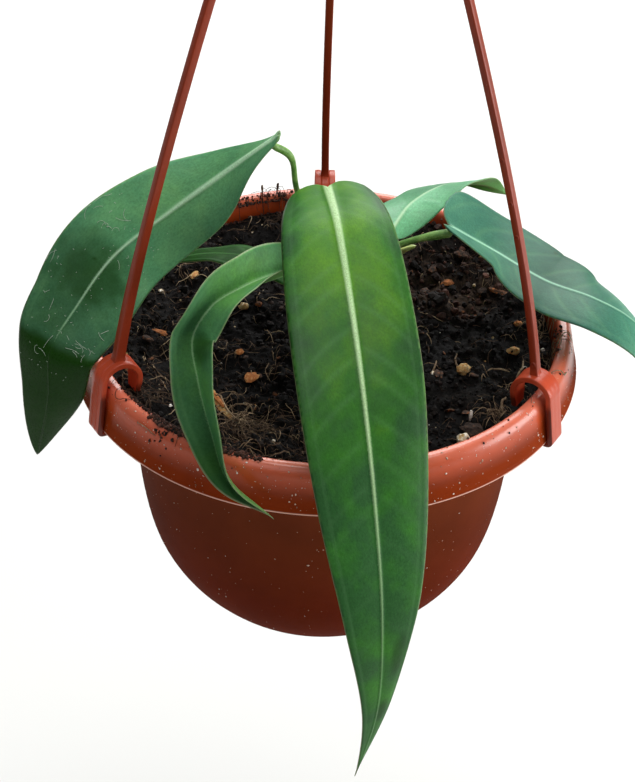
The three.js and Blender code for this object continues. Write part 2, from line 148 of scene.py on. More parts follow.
def barSection(width, depth, corner, steps=4):
    # A bar's outline in its own plane: four quarter circles joined by straight sides
    quarter = np.repeat(np.arange(4), steps)
    angle = np.radians(quarter * 90 + np.tile(np.linspace(0, 90, steps), 4))
    signs = np.array([[1, 1], [-1, 1], [-1, -1], [1, -1]])[quarter]
    half = np.stack(np.broadcast_arrays(width, depth), -1)[..., None, :] / 2
    corner = np.minimum(corner, 0.49 * half.min(-1, keepdims=True) * 2)
    return signs * (half - corner) + corner * np.stack([np.cos(angle), np.sin(angle)], -1)


def sweep(path, section, reference):
    # A closed outline carried along a path. Its first number runs along the reference, made square
    # to the path, its second at right angles to both, and the ends are closed on the path
    along = unit(np.gradient(path, axis=-2))
    side = unit(reference - along * (along * reference).sum(-1, keepdims=True))
    outward = np.cross(along, side)
    rings = path[..., None, :] + side[..., None, :] * section[..., :1]
    rings = rings + outward[..., None, :] * section[..., 1:]
    ends = np.broadcast_to(path[..., None, :], rings.shape)
    return np.concatenate([ends[..., :1, :, :], rings, ends[..., -1:, :, :]], -3)


def roundSection(radius, sides):
    # A regular outline with its corners at a radius, or one for each of many radii
    angle = np.linspace(0, 2 * np.pi, sides, endpoint=False)
    return np.asarray(radius)[..., None, None] * np.stack([np.cos(angle), np.sin(angle)], -1)


def turnAboutZ(points, degrees):
    # Points turned about the vertical axis
    a = np.radians(degrees)
    x, y, z = np.moveaxis(points, -1, 0)
    return np.stack([x * np.cos(a) - y * np.sin(a), x * np.sin(a) + y * np.cos(a), z + 0 * a], -1)


def manyGrids(grids):
    # Points and faces of many equal wrapped grids, such as hundreds of fibres, as one part
    count, rows, columns, _ = grids.shape
    faces = gridFaces(rows, columns, wrap=True)
    shift = (np.arange(count) * rows * columns)[:, None, None]
    return grids.reshape(-1, 3), (faces[None] + shift).reshape(-1, 4)


def lumpGrids(draw, count, rough, rings=5, columns=6):
    # Small closed lumps: balls of a few rings whose radius is jittered from point to point
    polar = np.linspace(np.pi, 0, rings)[:, None]
    angle = np.linspace(0, 2 * np.pi, columns, endpoint=False)
    ball = np.stack(np.broadcast_arrays(
        np.sin(polar) * np.cos(angle), np.sin(polar) * np.sin(angle), np.cos(polar)), -1)
    gain = 1 + rough * draw.uniform(-1, 1, (count, rings, columns, 1))
    gain[:, [0, -1]] = 1
    return ball * gain


def restingTurns(draw, count, tilt):
    # Random turns whose third direction leans from the vertical by about the tilt
    up = unit(np.array([0, 0, 1.0]) + tilt * draw.normal(size=(count, 3)))
    level = unit(np.cross(up, draw.normal(size=(count, 3))))
    return np.stack([level, np.cross(up, level), up], 1)


def placed(grids, sizes, turns, centres):
    # Copies of grids scaled along their own directions, turned, and moved to their centres
    flat = grids.reshape(len(grids), -1, 3) * sizes[:, None]
    return (flat @ turns + centres[:, None]).reshape(grids.shape)


def discSpots(draw, count, inner, outer):
    # Points spread evenly over a ring-shaped area: the square of the radius is even
    r, angle = np.sqrt(draw.uniform(inner**2, outer**2, count)), draw.uniform(0, 2 * np.pi, count)
    return r * np.cos(angle), r * np.sin(angle)


# Meshes as pieces of the object

def mergedMesh(name, points, faces, values=None):
    # A mesh whose doubled points, at seams and poles, are merged. Values are named numbers or vectors
    # for each point that the material reads
    mesh = bpy.data.meshes.new(name)
    mesh.from_pydata((points * mm + (0, 0, rimTop)).tolist(), [], faces)
    for label, data in (values or {}).items():
        data = np.asarray(data, float)
        kind, field = ("FLOAT", "value") if data.ndim == 1 else ("FLOAT_VECTOR", "vector")
        mesh.attributes.new(label, kind, "POINT").data.foreach_set(field, data.ravel())
    cleanup = bmesh.new()
    cleanup.from_mesh(mesh)
    bmesh.ops.remove_doubles(cleanup, verts=cleanup.verts, dist=1e-7)
    cleanup.to_mesh(mesh)
    cleanup.free()
    return mesh


def addPiece(name, parts, material, replaces=(), values=None, sharpOver=None):
    # Parts are pairs of points and faces, joined as one smooth mesh with edges sharp over an angle
    points = np.vstack([np.reshape(p, (-1, 3)) for p, _ in parts])
    starts = np.cumsum([0] + [np.reshape(p, (-1, 3)).shape[0] for p, _ in parts[:-1]])
    faces = [row for (_, f), start in zip(parts, starts) for row in (f + start).tolist()]
    mesh = mergedMesh(name, points, faces, values)
    mesh.polygons.foreach_set("use_smooth", np.ones(len(mesh.polygons), bool))
    if sharpOver:
        mesh.set_sharp_from_angle(angle=math.radians(sharpOver))
    mesh.materials.append(material)
    mesh.validate()
    piece = bpy.data.objects.new(name, mesh)
    bpy.context.scene.collection.objects.link(piece)
    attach(piece, "root")
    if replaces:
        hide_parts(*replaces)
    return piece


def addLitter(name, grids, tone, material, sharpOver=None):
    # Many equal grids as one piece, each with its own tone
    values = {"tone": np.repeat(tone, grids[0, ..., 0].size)}
    addPiece(name, [manyGrids(grids)], material, values=values, sharpOver=sharpOver)


# Materials

def toLinear(hexText, alpha=1.0):
    # An sRGB hex colour as linear numbers, by the standard's straight foot and power of 2.4
    c = np.array([int(hexText[i:i + 2], 16) for i in (1, 3, 5)]) / 255
    return (*np.where(c <= 0.04045, c / 12.92, ((c + 0.055) / 1.055) ** 2.4), alpha)


def addNode(tree, kind, inputs=None, out=None, ramp=None, **settings):
    # Adds one node, sets it up, fills or links its inputs, and gives back one of its outputs
    node = tree.nodes.new(kind)
    for name, value in settings.items():
        setattr(node, name, value)
    for name, value in (inputs or {}).items():
        socket = node.inputs[name] if isinstance(name, int) else next(
            s for s in node.inputs if name in (s.identifier, s.name))
        if isinstance(value, bpy.types.NodeSocket):
            tree.links.new(value, socket)
        else:
            socket.default_value = value
    if ramp:
        while len(node.color_ramp.elements) < len(ramp):
            node.color_ramp.elements.new(0.5)
        for element, (place, colour) in zip(node.color_ramp.elements, ramp):
            element.position, element.color = place, toLinear(colour)
    named = [s for s in node.outputs if not out or out in (s.identifier, s.name)]
    return named[0] if named else None


def newMaterial(name):
    # An empty material and its node tree
    material = bpy.data.materials.new(name)
    material.use_nodes = True
    tree = material.node_tree
    tree.nodes.clear()
    return material, tree


def finishMaterial(tree, shader):
    # Joins the shader to the output
    addNode(tree, "ShaderNodeOutputMaterial", {"Surface": shader})


plasticLook = {
    # colours at heights from the rim's top in millimetres: painted shade darkens the band and
    # bowl downward, and a painted highlight lightens the rolled rim's top
    "tones": [(-70, "#5E1E08"), (-34, "#682E16"), (-14.6, "#7A3820"), (-14.1, "#84300F"),
              (-8, "#8C3412"), (-4.5, "#BC4A22"), (-2, "#C65838"), (0, "#D87258")],
    # edge is a pale line painted along the band's lower edge as a highlight, side is painted shade for a
    # strap's narrow sides, and dust is real specks
    "edge": "#F4C4B2", "edgeAt": -13.7, "edgeHalf": 0.42, "side": "#5A1E10", "dust": "#D8B49C",
    "mottleMm": 26, "gritMm": 2.6, "patchMm": 17, "grime": 0.1, "peelMm": 0.9,
    "roughness": 0.4, "dustRoughness": 0.75, "ior": 1.49, "shine": 0,
    # the polish rises between two heights
    "glossFrom": -10, "glossTo": -2.5, "glossLow": 0.05, "glossHigh": 1, "glossRoughness": 0.27,
}


def mouldedPolypropylene(name, look):
    # Terracotta-coloured polypropylene, injection moulded: a pigmented body with faint flow mottling,
    # with painted shade darkening it down the band and the bowl and a painted highlight lightening
    # the rolled rim's top, a pale line painted along the band's lower edge as a highlight, polished on
    # the rolled rim by handling, with a very fine orange peel and pale specks of dried water and grit.
    # The side value marks painted shade, such as on a strap's narrow sides
    material, tree = newMaterial(name)
    place = addNode(tree, "ShaderNodeTexCoord", out="Object")
    height = addNode(tree, "ShaderNodeSeparateXYZ", {"Vector": place}, out="Z")
    lowest, highest = look["tones"][0][0], look["tones"][-1][0]
    edge, half = look["edgeAt"], look["edgeHalf"]
    tone, rising, falling, gloss = [
        addNode(tree, "ShaderNodeMapRange", {
            "Value": height, "From Min": rimTop + low * mm, "From Max": rimTop + high * mm,
            "To Min": start, "To Max": stop})
        for low, high, start, stop in [
            (lowest, highest, 0.0, 1.0), (edge - half, edge, 0.0, 1.0), (edge, edge + half, 1.0, 0.0),
            (look["glossFrom"], look["glossTo"], look["glossLow"], look["glossHigh"])]]
    # painted shade darkens the colour down the band and bowl; a painted highlight lightens the rim's top
    heightShadeAndHighlight = addNode(tree, "ShaderNodeValToRGB", {"Fac": tone}, ramp=[
        ((z - lowest) / (highest - lowest), colour) for z, colour in look["tones"]])
    mottle = addNode(tree, "ShaderNodeTexNoise", {
        "Vector": place, "Scale": 1 / (look["mottleMm"] * mm), "Detail": 4, "Roughness": 0.6})
    gain = addNode(tree, "ShaderNodeMapRange", {
        "Value": mottle, "From Min": 0.3, "From Max": 0.7, "To Min": 0.84, "To Max": 1.12})
    colour = addNode(tree, "ShaderNodeVectorMath", {0: heightShadeAndHighlight, "Scale": gain}, operation="SCALE")
    # a pale line painted along the band's lower edge as a highlight
    paintedEdgeHighlight = addNode(tree, "ShaderNodeMath", {0: rising, 1: falling}, operation="MINIMUM")
    # painted shade on the narrow sides of the hanger's straps
    side = addNode(tree, "ShaderNodeAttribute", out="Fac", attribute_name="side")
    cells = addNode(tree, "ShaderNodeTexVoronoi", {
        "Vector": place, "Scale": 1 / (look["gritMm"] * mm), "Randomness": 1.0}, out="Distance")
    patches = addNode(tree, "ShaderNodeTexNoise", {
        "Vector": place, "Scale": 1 / (look["patchMm"] * mm), "Detail": 3, "Roughness": 0.7})
    limit = addNode(tree, "ShaderNodeMapRange", {
        "Value": patches, "From Min": 0.4, "From Max": 0.75, "To Min": 0.02, "To Max": look["grime"]})
    speck = addNode(tree, "ShaderNodeMath", {0: cells, 1: limit}, operation="LESS_THAN")
    dirty = addNode(tree, "ShaderNodeMath", {0: speck, 1: 0.7}, operation="MULTIPLY")
    for cover, layer in [(paintedEdgeHighlight, "edge"), (side, "side"), (dirty, "dust")]:
        colour = addNode(tree, "ShaderNodeMix", {
            "Factor_Float": cover, "A_Color": colour, "B_Color": toLinear(look[layer])},
            out="Result_Color", data_type="RGBA")
    rough = addNode(tree, "ShaderNodeMapRange", {
        "Value": dirty, "To Min": look["roughness"], "To Max": look["dustRoughness"]})
    peel = addNode(tree, "ShaderNodeTexNoise", {
        "Vector": place, "Scale": 1 / (look["peelMm"] * mm), "Detail": 2})
    bump = addNode(tree, "ShaderNodeBump", {"Height": peel, "Strength": 0.12, "Distance": 0.3 * mm})
    finishMaterial(tree, addNode(tree, "ShaderNodeBsdfPrincipled", {
        "Base Color": colour, "Roughness": rough, "IOR": look["ior"], "Normal": bump,
        "Specular IOR Level": look["shine"], "Coat Weight": gloss,
        "Coat Roughness": look["glossRoughness"]}))
    return material


def peatMix(name, shades, grainMm, patchMm, roughness):
    # Peat-based potting mix: near-black humus with brown flecks of wood and fibre, rough and damp,
    # browner where the brown value is high
    material, tree = newMaterial(name)
    place = addNode(tree, "ShaderNodeTexCoord", out="Object")
    brown = addNode(tree, "ShaderNodeAttribute", out="Fac", attribute_name="brown")
    grain = addNode(tree, "ShaderNodeTexNoise", {
        "Vector": place, "Scale": 1 / (grainMm * mm), "Detail": 6, "Roughness": 0.7})
    patch = addNode(tree, "ShaderNodeTexNoise", {
        "Vector": place, "Scale": 1 / (patchMm * mm), "Detail": 2})
    added = addNode(tree, "ShaderNodeMath", {0: brown, 1: 0.2}, operation="MULTIPLY")
    blend = addNode(tree, "ShaderNodeMath", {0: grain, 1: patch, 2: added}, operation="MULTIPLY_ADD")
    stops = [0.14, 0.3, 0.43, 0.58]
    colour = addNode(tree, "ShaderNodeValToRGB", {"Fac": blend}, ramp=list(zip(stops, shades)))
    bump = addNode(tree, "ShaderNodeBump", {"Height": grain, "Strength": 0.9, "Distance": 0.8 * mm})
    finishMaterial(tree, addNode(tree, "ShaderNodeBsdfPrincipled", {
        "Base Color": colour, "Roughness": roughness, "Specular IOR Level": 0.12, "Normal": bump}))
    return material


def litterMaterial(name, shades, grainMm, roughness=0.8):
    # Loose plant litter, such as coir strands, bark and crumbs: each bit has its own tone, from the
    # tone value, broken up by a grain of its own size
    material, tree = newMaterial(name)
    place = addNode(tree, "ShaderNodeTexCoord", out="Object")
    tone = addNode(tree, "ShaderNodeAttribute", out="Fac", attribute_name="tone")
    grain = addNode(tree, "ShaderNodeTexNoise", {
        "Vector": place, "Scale": 1 / (grainMm * mm), "Detail": 4, "Roughness": 0.65})
    spread = addNode(tree, "ShaderNodeMapRange", {
        "Value": grain, "From Min": 0.3, "From Max": 0.7, "To Min": -0.18, "To Max": 0.18})
    mixed = addNode(tree, "ShaderNodeMath", {0: tone, 1: spread}, operation="ADD")
    stops = np.linspace(0, 1, len(shades)).tolist()
    colour = addNode(tree, "ShaderNodeValToRGB", {"Fac": mixed}, ramp=list(zip(stops, shades)))
    bump = addNode(tree, "ShaderNodeBump", {"Height": grain, "Strength": 0.6, "Distance": 0.4 * mm})
    finishMaterial(tree, addNode(tree, "ShaderNodeBsdfPrincipled", {
        "Base Color": colour, "Roughness": roughness, "Specular IOR Level": 0.2, "Normal": bump}))
    return material


def leafSkin(name, look):
    # A thick aroid leaf: a waxy satin skin over green tissue, painted yellower where light shines
    # through it, with a pale stippled midrib, faint side veins and a thin pale margin. The place value
    # holds millimetres across, along and from the edge; lines holds the distance from the margin
    # vein, the rib's half width and the share of the length; marks holds vein, yellow and dark, where
    # dark is partly real marks and partly painted shade; tone is painted light and shade
    material, tree = newMaterial(name)
    place, lines, marks = [
        addNode(tree, "ShaderNodeAttribute", out="Vector", attribute_name=label)
        for label in ("place", "lines", "marks")]
    under, tone = [
        addNode(tree, "ShaderNodeAttribute", out="Fac", attribute_name=label)
        for label in ("under", "tone")]
    across, _, edge, margin, ribHalf, share, vein, yellow, dark = [
        addNode(tree, "ShaderNodeSeparateXYZ", {"Vector": source}, out=axis)
        for source in (place, lines, marks) for axis in "XYZ"]
    cloud, fleck, stipple = [
        addNode(tree, "ShaderNodeTexNoise", {
            "Vector": place, "Scale": 1 / grainMm, "Detail": detail, "Roughness": roughness})
        for grainMm, detail, roughness in [
            (look["cloudMm"], 5, 0.62), (look["fleckMm"], 3, 0.7), (look["stippleMm"], 2, 0.6)]]

    cloudy = addNode(tree, "ShaderNodeMapRange", {
        "Value": cloud, "From Min": 0.3, "From Max": 0.7, "To Min": -0.22, "To Max": 0.22})
    warmth = addNode(tree, "ShaderNodeMath", {0: yellow, 1: cloudy}, operation="ADD", use_clamp=True)
    tissue = addNode(tree, "ShaderNodeValToRGB", {"Fac": warmth}, ramp=[
        (0.0, look["cool"]), (0.45, look["body"]), (1.0, look["warm"])])
    fleckGain = addNode(tree, "ShaderNodeMapRange", {
        "Value": fleck, "From Min": 0.3, "From Max": 0.7, "To Min": 0.8, "To Max": 1.2})
    # painted light and shade along the leaf, from the tone value
    toned = addNode(tree, "ShaderNodeMath", {0: fleckGain, 1: tone}, operation="MULTIPLY")
    colour = addNode(tree, "ShaderNodeVectorMath", {0: tissue, "Scale": toned}, operation="SCALE")

    # the rib ends raggedly, because its stipple is added to the distance from it
    frayed = addNode(tree, "ShaderNodeMath", {0: stipple, 1: 0.9, 2: -0.45}, operation="MULTIPLY_ADD")
    distance = addNode(tree, "ShaderNodeMath", {0: across}, operation="ABSOLUTE")
    ragged = addNode(tree, "ShaderNodeMath", {0: distance, 1: frayed}, operation="ADD")
    past = addNode(tree, "ShaderNodeMath", {0: ragged, 1: ribHalf}, operation="SUBTRACT")
    rib = addNode(tree, "ShaderNodeMapRange", {
        "Value": past, "From Min": -0.35, "From Max": 0.3, "To Min": 1.0, "To Max": 0.0})
    ribTone = addNode(tree, "ShaderNodeValToRGB", {"Fac": share}, ramp=[
        (0.0, look["rib"]), (0.45, look["rib"]), (0.9, look["ribEnd"])])
    ribDots = addNode(tree, "ShaderNodeMapRange", {
        "Value": stipple, "From Min": 0.35, "From Max": 0.62, "To Min": 0.5, "To Max": 1.0})

    veinCover = addNode(tree, "ShaderNodeMath", {0: vein, 1: look["veinStrength"]}, operation="MULTIPLY")
    marginCover = addNode(tree, "ShaderNodeMapRange", {
        "Value": margin, "From Min": 0.12, "From Max": 0.6, "To Min": 0.12, "To Max": 0.0})
    darkCover = addNode(tree, "ShaderNodeMath", {0: dark, 1: 0.85}, operation="MULTIPLY", use_clamp=True)
    ribCover = addNode(tree, "ShaderNodeMath", {0: rib, 1: ribDots}, operation="MULTIPLY")
    edgeCover = addNode(tree, "ShaderNodeMapRange", {
        "Value": edge, "From Min": 0.03, "From Max": look["edgeMm"], "To Min": 0.6, "To Max": 0.0})
    underCover = addNode(tree, "ShaderNodeMath", {0: under, 1: 0.7}, operation="MULTIPLY")
    for cover, layer in [
            (veinCover, toLinear(look["vein"])), (marginCover, toLinear(look["vein"])),
            (darkCover, toLinear(look["dark"])), (ribCover, ribTone),
            (edgeCover, toLinear(look["edge"])), (underCover, toLinear(look["under"]))]:
        colour = addNode(tree, "ShaderNodeMix", {
            "Factor_Float": cover, "A_Color": colour, "B_Color": layer},
            out="Result_Color", data_type="RGBA")

    satin = addNode(tree, "ShaderNodeMapRange", {
        "Value": fleck, "From Min": 0.3, "From Max": 0.7,
        "To Min": look["roughness"] - 0.05, "To Max": look["roughness"] + 0.06})
    rough = addNode(tree, "ShaderNodeMath", {0: dark, 1: -0.15, 2: satin}, operation="MULTIPLY_ADD")
    bump = addNode(tree, "ShaderNodeBump", {"Height": fleck, "Strength": 0.25, "Distance": 0.2 * mm})
    finishMaterial(tree, addNode(tree, "ShaderNodeBsdfPrincipled", {
        "Base Color": colour, "Roughness": rough, "IOR": 1.45, "Normal": bump,
        "Specular IOR Level": look["shine"],
        "Subsurface Weight": 0.12, "Subsurface Radius": (0.6 * mm, 1.2 * mm, 0.3 * mm)}))
    return material


def stalkSkin(name, pale, deep, streakMm=3.2, dotMm=0.7):
    # A fresh aroid leaf stalk: smooth pale green skin with fine streaks and pale dots
    material, tree = newMaterial(name)
    place = addNode(tree, "ShaderNodeTexCoord", out="Object")
    streak = addNode(tree, "ShaderNodeTexNoise", {
        "Vector": place, "Scale": 1 / (streakMm * mm), "Detail": 5, "Roughness": 0.7})
    dots = addNode(tree, "ShaderNodeTexVoronoi", {
        "Vector": place, "Scale": 1 / (dotMm * mm)}, out="Distance")
    lit = addNode(tree, "ShaderNodeMapRange", {
        "Value": dots, "From Min": 0.1, "From Max": 0.35, "To Min": 0.22, "To Max": 0.0})
    tone = addNode(tree, "ShaderNodeMath", {0: streak, 1: lit}, operation="ADD")
    colour = addNode(tree, "ShaderNodeValToRGB", {"Fac": tone}, ramp=[(0.35, deep), (0.72, pale)])
    bump = addNode(tree, "ShaderNodeBump", {"Height": dots, "Strength": 0.15, "Distance": 0.2 * mm})
    finishMaterial(tree, addNode(tree, "ShaderNodeBsdfPrincipled", {
        "Base Color": colour, "Roughness": 0.42, "IOR": 1.45, "Normal": bump,
        "Subsurface Weight": 0.12, "Subsurface Radius": (1.2 * mm, 2 * mm, 0.5 * mm)}))
    return material


# The camera looks down on the rim from the front

view = {"focalPixels": 2000, "imageHeight": 782, "sensorMm": 36, "distance": 595,
        "elevation": 35.35, "aim": (-2.2, 0, -28.7), "roll": 1.73}


def addCamera():
    # A camera on a circle round the rim, aimed at a point and rolled about its own line of sight
    rise = math.radians(view["elevation"])
    eye = Vector((0, -math.cos(rise), math.sin(rise))) * view["distance"]
    forward = (Vector(view["aim"]) - eye).normalized()
    right = forward.cross(Vector((0, 0, 1))).normalized()
    up = right.cross(forward)
    roll = math.radians(view["roll"])
    right, up = (right * math.cos(roll) + up * math.sin(roll),
                 up * math.cos(roll) - right * math.sin(roll))
    data = bpy.data.cameras.new("camera")
    data.sensor_width = view["sensorMm"]
    data.lens = data.sensor_width * view["focalPixels"] / view["imageHeight"]
    data.clip_start, data.clip_end = 0.01, 20
    camera = bpy.data.objects.new("camera", data)
    turn = Matrix((right, up, -forward)).transposed().to_4x4()
    camera.matrix_world = Matrix.Translation(eye * mm + Vector((0, 0, rimTop))) @ turn
    bpy.context.scene.collection.objects.link(camera)
    bpy.context.scene.camera = camera


addCamera()
print("camera placed")


# The pot, a closed profile turned about the vertical axis, with drain holes cut through its floor

pot = {
    "rim": 75, "height": 96.5, "foot": 35.5, "wall": 1.6, "band": 14, "lip": 0.2, "around": 240,
    "collar": 67.8, "collarFoot": -11.5, "sharpOver": 50,
    "drains": 6, "drainRadius": 2.4, "drainCircle": 22, "drainSides": 28,
    # radius and height up the outside
    "bowl": [(38.5, -95.6), (43.5, -90.5), (49.2, -83), (54, -72.5), (56.9, -56), (58.3, -34),
             (59, -25.5), (61.5, -19.5), (65.8, -14.5)],
}


def bowlInside(clear):
    # The bowl's outside moved one wall in where it is upright and one wall up where it is level
    r, z = np.array(pot["bowl"], float).T
    upright = fade(z, -pot["height"], -78) * (1 - 0.6 * fade(z, -26, -15))
    shift = pot["wall"] + clear
    return np.stack([r - shift * (0.35 + 0.65 * upright), z + shift * (1 - upright)], -1)


def bandProfile():
    # The rolled rim from its outer lip up over the roll and down to the collar's inner foot
    rim, band, collar = pot["rim"], pot["band"], pot["collar"]
    return [(rim - 1.5, -band, 0.2), (rim + pot["lip"], -band, 0.35), (rim + 0.15, -band + 1.1, 0.4),
            (rim - 0.1, -band + 1.6, 0.8), (rim - 1.6, -5.2, 2.4), (rim - 2.2, -1.9, 2.4),
            (rim - 3.7, 0, 2), (rim - 5.3, 0, 1.4), (collar + 0.8, -0.4, 0.9),
            (collar + 0.4, -2, 0.9), (collar, pot["collarFoot"], 0.6)]


def makePot(material):
    # One closed outline turned once round: foot, bowl, outside of the collar, rolled rim, inside
    low, wall, collar = -pot["height"], pot["wall"], pot["collar"]
    outside = [(r, z, 9) for r, z in pot["bowl"]]
    inside = [(r, z, 9) for r, z in bowlInside(0)[::-1]]
    outline = [
        (0, low + 1.2, 0), (1.6, low + 1.1, 0.3), (2.1, low + 0.6, 0.3), (pot["foot"] - 5, low + 0.6, 0.3),
        (pot["foot"] - 4.4, low, 0.3), (pot["foot"], low, 1), *outside,
        (collar + wall, pot["collarFoot"] - 1.2, 1.2), (collar + wall, -3.4, 1), (collar + 3, -2, 1),
        (pot["rim"] - 3.4, -4.6, 1.5), *bandProfile(), *inside,
        (pot["foot"] - 2, low + wall, 2), (0, low + wall, 0),
    ]
    body = wrapped(turned(roundedOutline(outline), pot["around"]))
    cutDrains(addPiece("hanging_pot", [body], material, ["pot"]))


def cutDrains(piece):
    # Round cutters on a circle are taken out of the floor, and the result replaces the mesh
    radius, low = pot["drainRadius"], -pot["height"]
    rod = turned(np.array([(0, low - 3), (radius, low - 3), (radius, low + 5), (0, low + 5)]),
                 pot["drainSides"])
    angles = 360 * (np.arange(pot["drains"]) + 0.5) / pot["drains"]
    rods = np.stack([turnAboutZ(rod + (pot["drainCircle"], 0, 0), a) for a in angles])
    points, faces = manyGrids(rods)
    cutter = bpy.data.objects.new("drain_cutter", mergedMesh("drain_cutter", points, faces.tolist()))
    bpy.context.scene.collection.objects.link(cutter)
    cut = piece.modifiers.new("drains", "BOOLEAN")
    cut.object, cut.operation, cut.solver = cutter, "DIFFERENCE", "EXACT"
    bpy.context.view_layer.update()
    done = bpy.data.meshes.new_from_object(piece.evaluated_get(bpy.context.evaluated_depsgraph_get()))
    piece.modifiers.remove(cut)
    piece.data = done
    bpy.data.objects.remove(cutter)
    done.set_sharp_from_angle(angle=math.radians(pot["sharpOver"]))


potPlastic = mouldedPolypropylene("terracotta_polypropylene_pot", plasticLook)
makePot(potPlastic)
print("pot made")


# The hanger: three arms on spring clips, a hub and an open hook, from one moulding

hanger = {
    "strapWidth": 6.5, "strapThick": 1.7, "toeThick": 1.0, "bend": 5.6, "arch": 68.8,
    "rodAcross": 2.4, "flare": 0.5, "taperShare": 0.36, "bendAt": 0.26, "meet": 217, "gap": 0.3,
    "hookRadius": 10.2, "hookWire": 2.2, "hookRise": 19, "hookSides": 24,
    "strapCorner": 0.32, "rodCorner": 0.34, "grooveAt": 1.2, "grooveHalf": 0.28,
    "nubRadius": 0.56, "nubThick": 0.2, "sideShade": 0.9, "hubSides": 48, "sharpOver": 38,
    # outline of the hub as radius, height from where the arms meet, and rounding
    "hub": [(0, -16, 0), (3.4, -15, 1), (4.6, -9, 3), (4.4, -3, 2), (3, 1, 1.5), (0, 2, 0)],
    "arms": [
        {"azimuth": 91.8, "foot": 2.6, "depth": 2.2, "bow": 7.5, "sway": 1.5, "middle": 0.8,
         "inner": -3.6, "groove": 0.22, "nubs": []},
        {"azimuth": 211.6, "foot": 3.2, "depth": 2.4, "bow": 7.6, "sway": 0, "middle": 1.6,
         "inner": -3.6, "groove": 0.22, "nubs": []},
        {"azimuth": 330, "foot": 2.3, "depth": 2, "bow": 10.2, "sway": 0, "middle": 0.1,
         "inner": -5.6, "groove": 0.03, "nubs": [0.035, 0.31, 0.365, 0.43]},
    ],
}


def strapSection(width, depth, groove):
    # A rounded bar with two narrow grooves along its outer face
    bar = barSection(width, depth, hanger["strapCorner"])
    before = bar.shape[1] * 3 // 4  # three of the four corners come before the outer face
    at = np.tile([-1, 0, 1], 2) * hanger["grooveHalf"] + np.repeat([-1, 1], 3) * hanger["grooveAt"]
    face = -depth[:, None] / 2 + np.tile([0, 1, 0], 2) * groove
    cut = np.stack([at + 0 * face, face], -1)
    return np.concatenate([bar[:, :before], cut, bar[:, before:]], 1)


def clipGrid(arm):
    # A strap from its toe under the band's edge, up the band, over an arch and down inside the rim,
    # and a value that paints shade on its narrow sides below the arch
    h, middle, rim = hanger, arm["middle"], pot["rim"]
    toeZ = -pot["band"] - h["gap"] - h["toeThick"] / 2
    legX = rim + pot["lip"] + h["gap"] + h["strapThick"] / 2
    line = lambda a, b, n: np.linspace(a, b, n, endpoint=False)
    toe, heel = np.array([rim - 0.4, toeZ]), np.array([legX, toeZ])
    leg = np.array([legX, -pot["band"] + 0.6])
    turn = np.radians(np.linspace(0, 180, 40))
    arch = np.stack([h["arch"] + h["bend"] * np.cos(turn), middle + h["bend"] * np.sin(turn)], -1)
    end = np.array([h["arch"] - h["bend"] + 0.6, arm["inner"]])
    flat = np.vstack([line([rim - 1.6, toeZ], toe, 6), bend(toe, heel, leg, line(0, 1, 10)[:, None]),
                      line(leg, arch[0], 24), arch, line(arch[-1], end, 8)[1:], end[None]])
    path = np.stack([flat[:, 0], 0 * flat[:, 0], flat[:, 1]], -1)
    run = runLength(path)
    width = h["strapWidth"] * (1 - 0.25 * fade(run, run[-1] - 4, run[-1]))
    depth = h["toeThick"] + (h["strapThick"] - h["toeThick"]) * fade(run, 1.5, 4.2)
    section = strapSection(width, depth, arm["groove"])
    # painted shade on the strap's narrow sides, fading out toward the rim's top
    narrow = np.abs(section[..., 0]) > 0.47 * width[:, None]
    side = np.pad(narrow * (1 - fade(path[:, 2], -3, 0))[:, None], ((1, 1), (0, 0)))
    return sweep(path, section, np.array([0, 1.0, 0])), h["sideShade"] * side


def rodCurve(arm, shares):
    # A quadratic curve from the arch up to the hub, bowed outward
    h = hanger
    foot = np.array([h["arch"] - 0.4, 0, arm["middle"] + h["bend"] + 0.4])
    head = np.array([1.5, 0, h["meet"] - 3])
    bowed = foot + (head - foot) * h["bendAt"] + (arm["bow"], arm["sway"], 0)
    return bend(foot, bowed, head, np.asarray(shares)[..., None])


def rodGrid(arm):
    # A bar that is deeper at its foot, with a small fillet where it stands on the strap
    h = hanger
    shares = np.concatenate([np.linspace(0, 0.03, 12)[:-1], np.linspace(0.03, 1, 80)])
    path = rodCurve(arm, shares)
    flare = h["flare"] * np.exp(-shares * np.linalg.norm(path[-1] - path[0]) / 1.8)
    depth = arm["foot"] + (arm["depth"] - arm["foot"]) * np.clip(shares / h["taperShare"], 0, 1)
    section = barSection(h["rodAcross"] + flare, depth + flare, h["rodCorner"])
    return sweep(path, section, np.array([0, 1.0, 0]))


def nubGrids(arm):
    # Small ring-shaped ejector marks on an arm's side: a torus half sunk in the bar
    radius, thick = hanger["nubRadius"], hanger["nubThick"]
    centres = rodCurve(arm, arm["nubs"]) + (0, -hanger["rodAcross"] / 2 - 0.04, 0)
    a, b = np.meshgrid(np.linspace(0, 2 * np.pi, 25), np.linspace(0, 2 * np.pi, 9), indexing="ij")
    reach = radius + thick * np.cos(b)
    ring = np.stack([reach * np.cos(a), thick * np.sin(b), reach * np.sin(a)], -1)
    return centres[:, None, None] + ring[None]


def hookGrid():
    # A round wire that rises from the hub and bends once round, then narrows to its round tip
    meet, bendRadius = hanger["meet"], hanger["hookRadius"]
    middle = meet + hanger["hookRise"]
    turn = np.radians(np.arange(-8, 191, 22))
    ring = np.stack([bendRadius * np.cos(turn), 0 * turn, middle + bendRadius * np.sin(turn)], -1)
    lead = [(0, 0, meet - 4), (0, 0, meet + 2), (bendRadius * 0.35, 0, meet + 6.5),
            (bendRadius * 0.85, 0, meet + 11.5)]
    out = [(-bendRadius - 1.4, 0, middle - 5.5)]
    share = np.linspace(0, 1, 120)
    path, _, _ = alongCurve(smoothCurve(np.vstack([lead, ring, out])), share)
    tip = 1 - (np.maximum(0, share - 0.97) / 0.032) ** 2
    radius = hanger["hookWire"] * np.sqrt(np.clip(tip, 0.05, 1))
    return sweep(path, roundSection(radius, hanger["hookSides"]), np.array([0, 1.0, 0]))


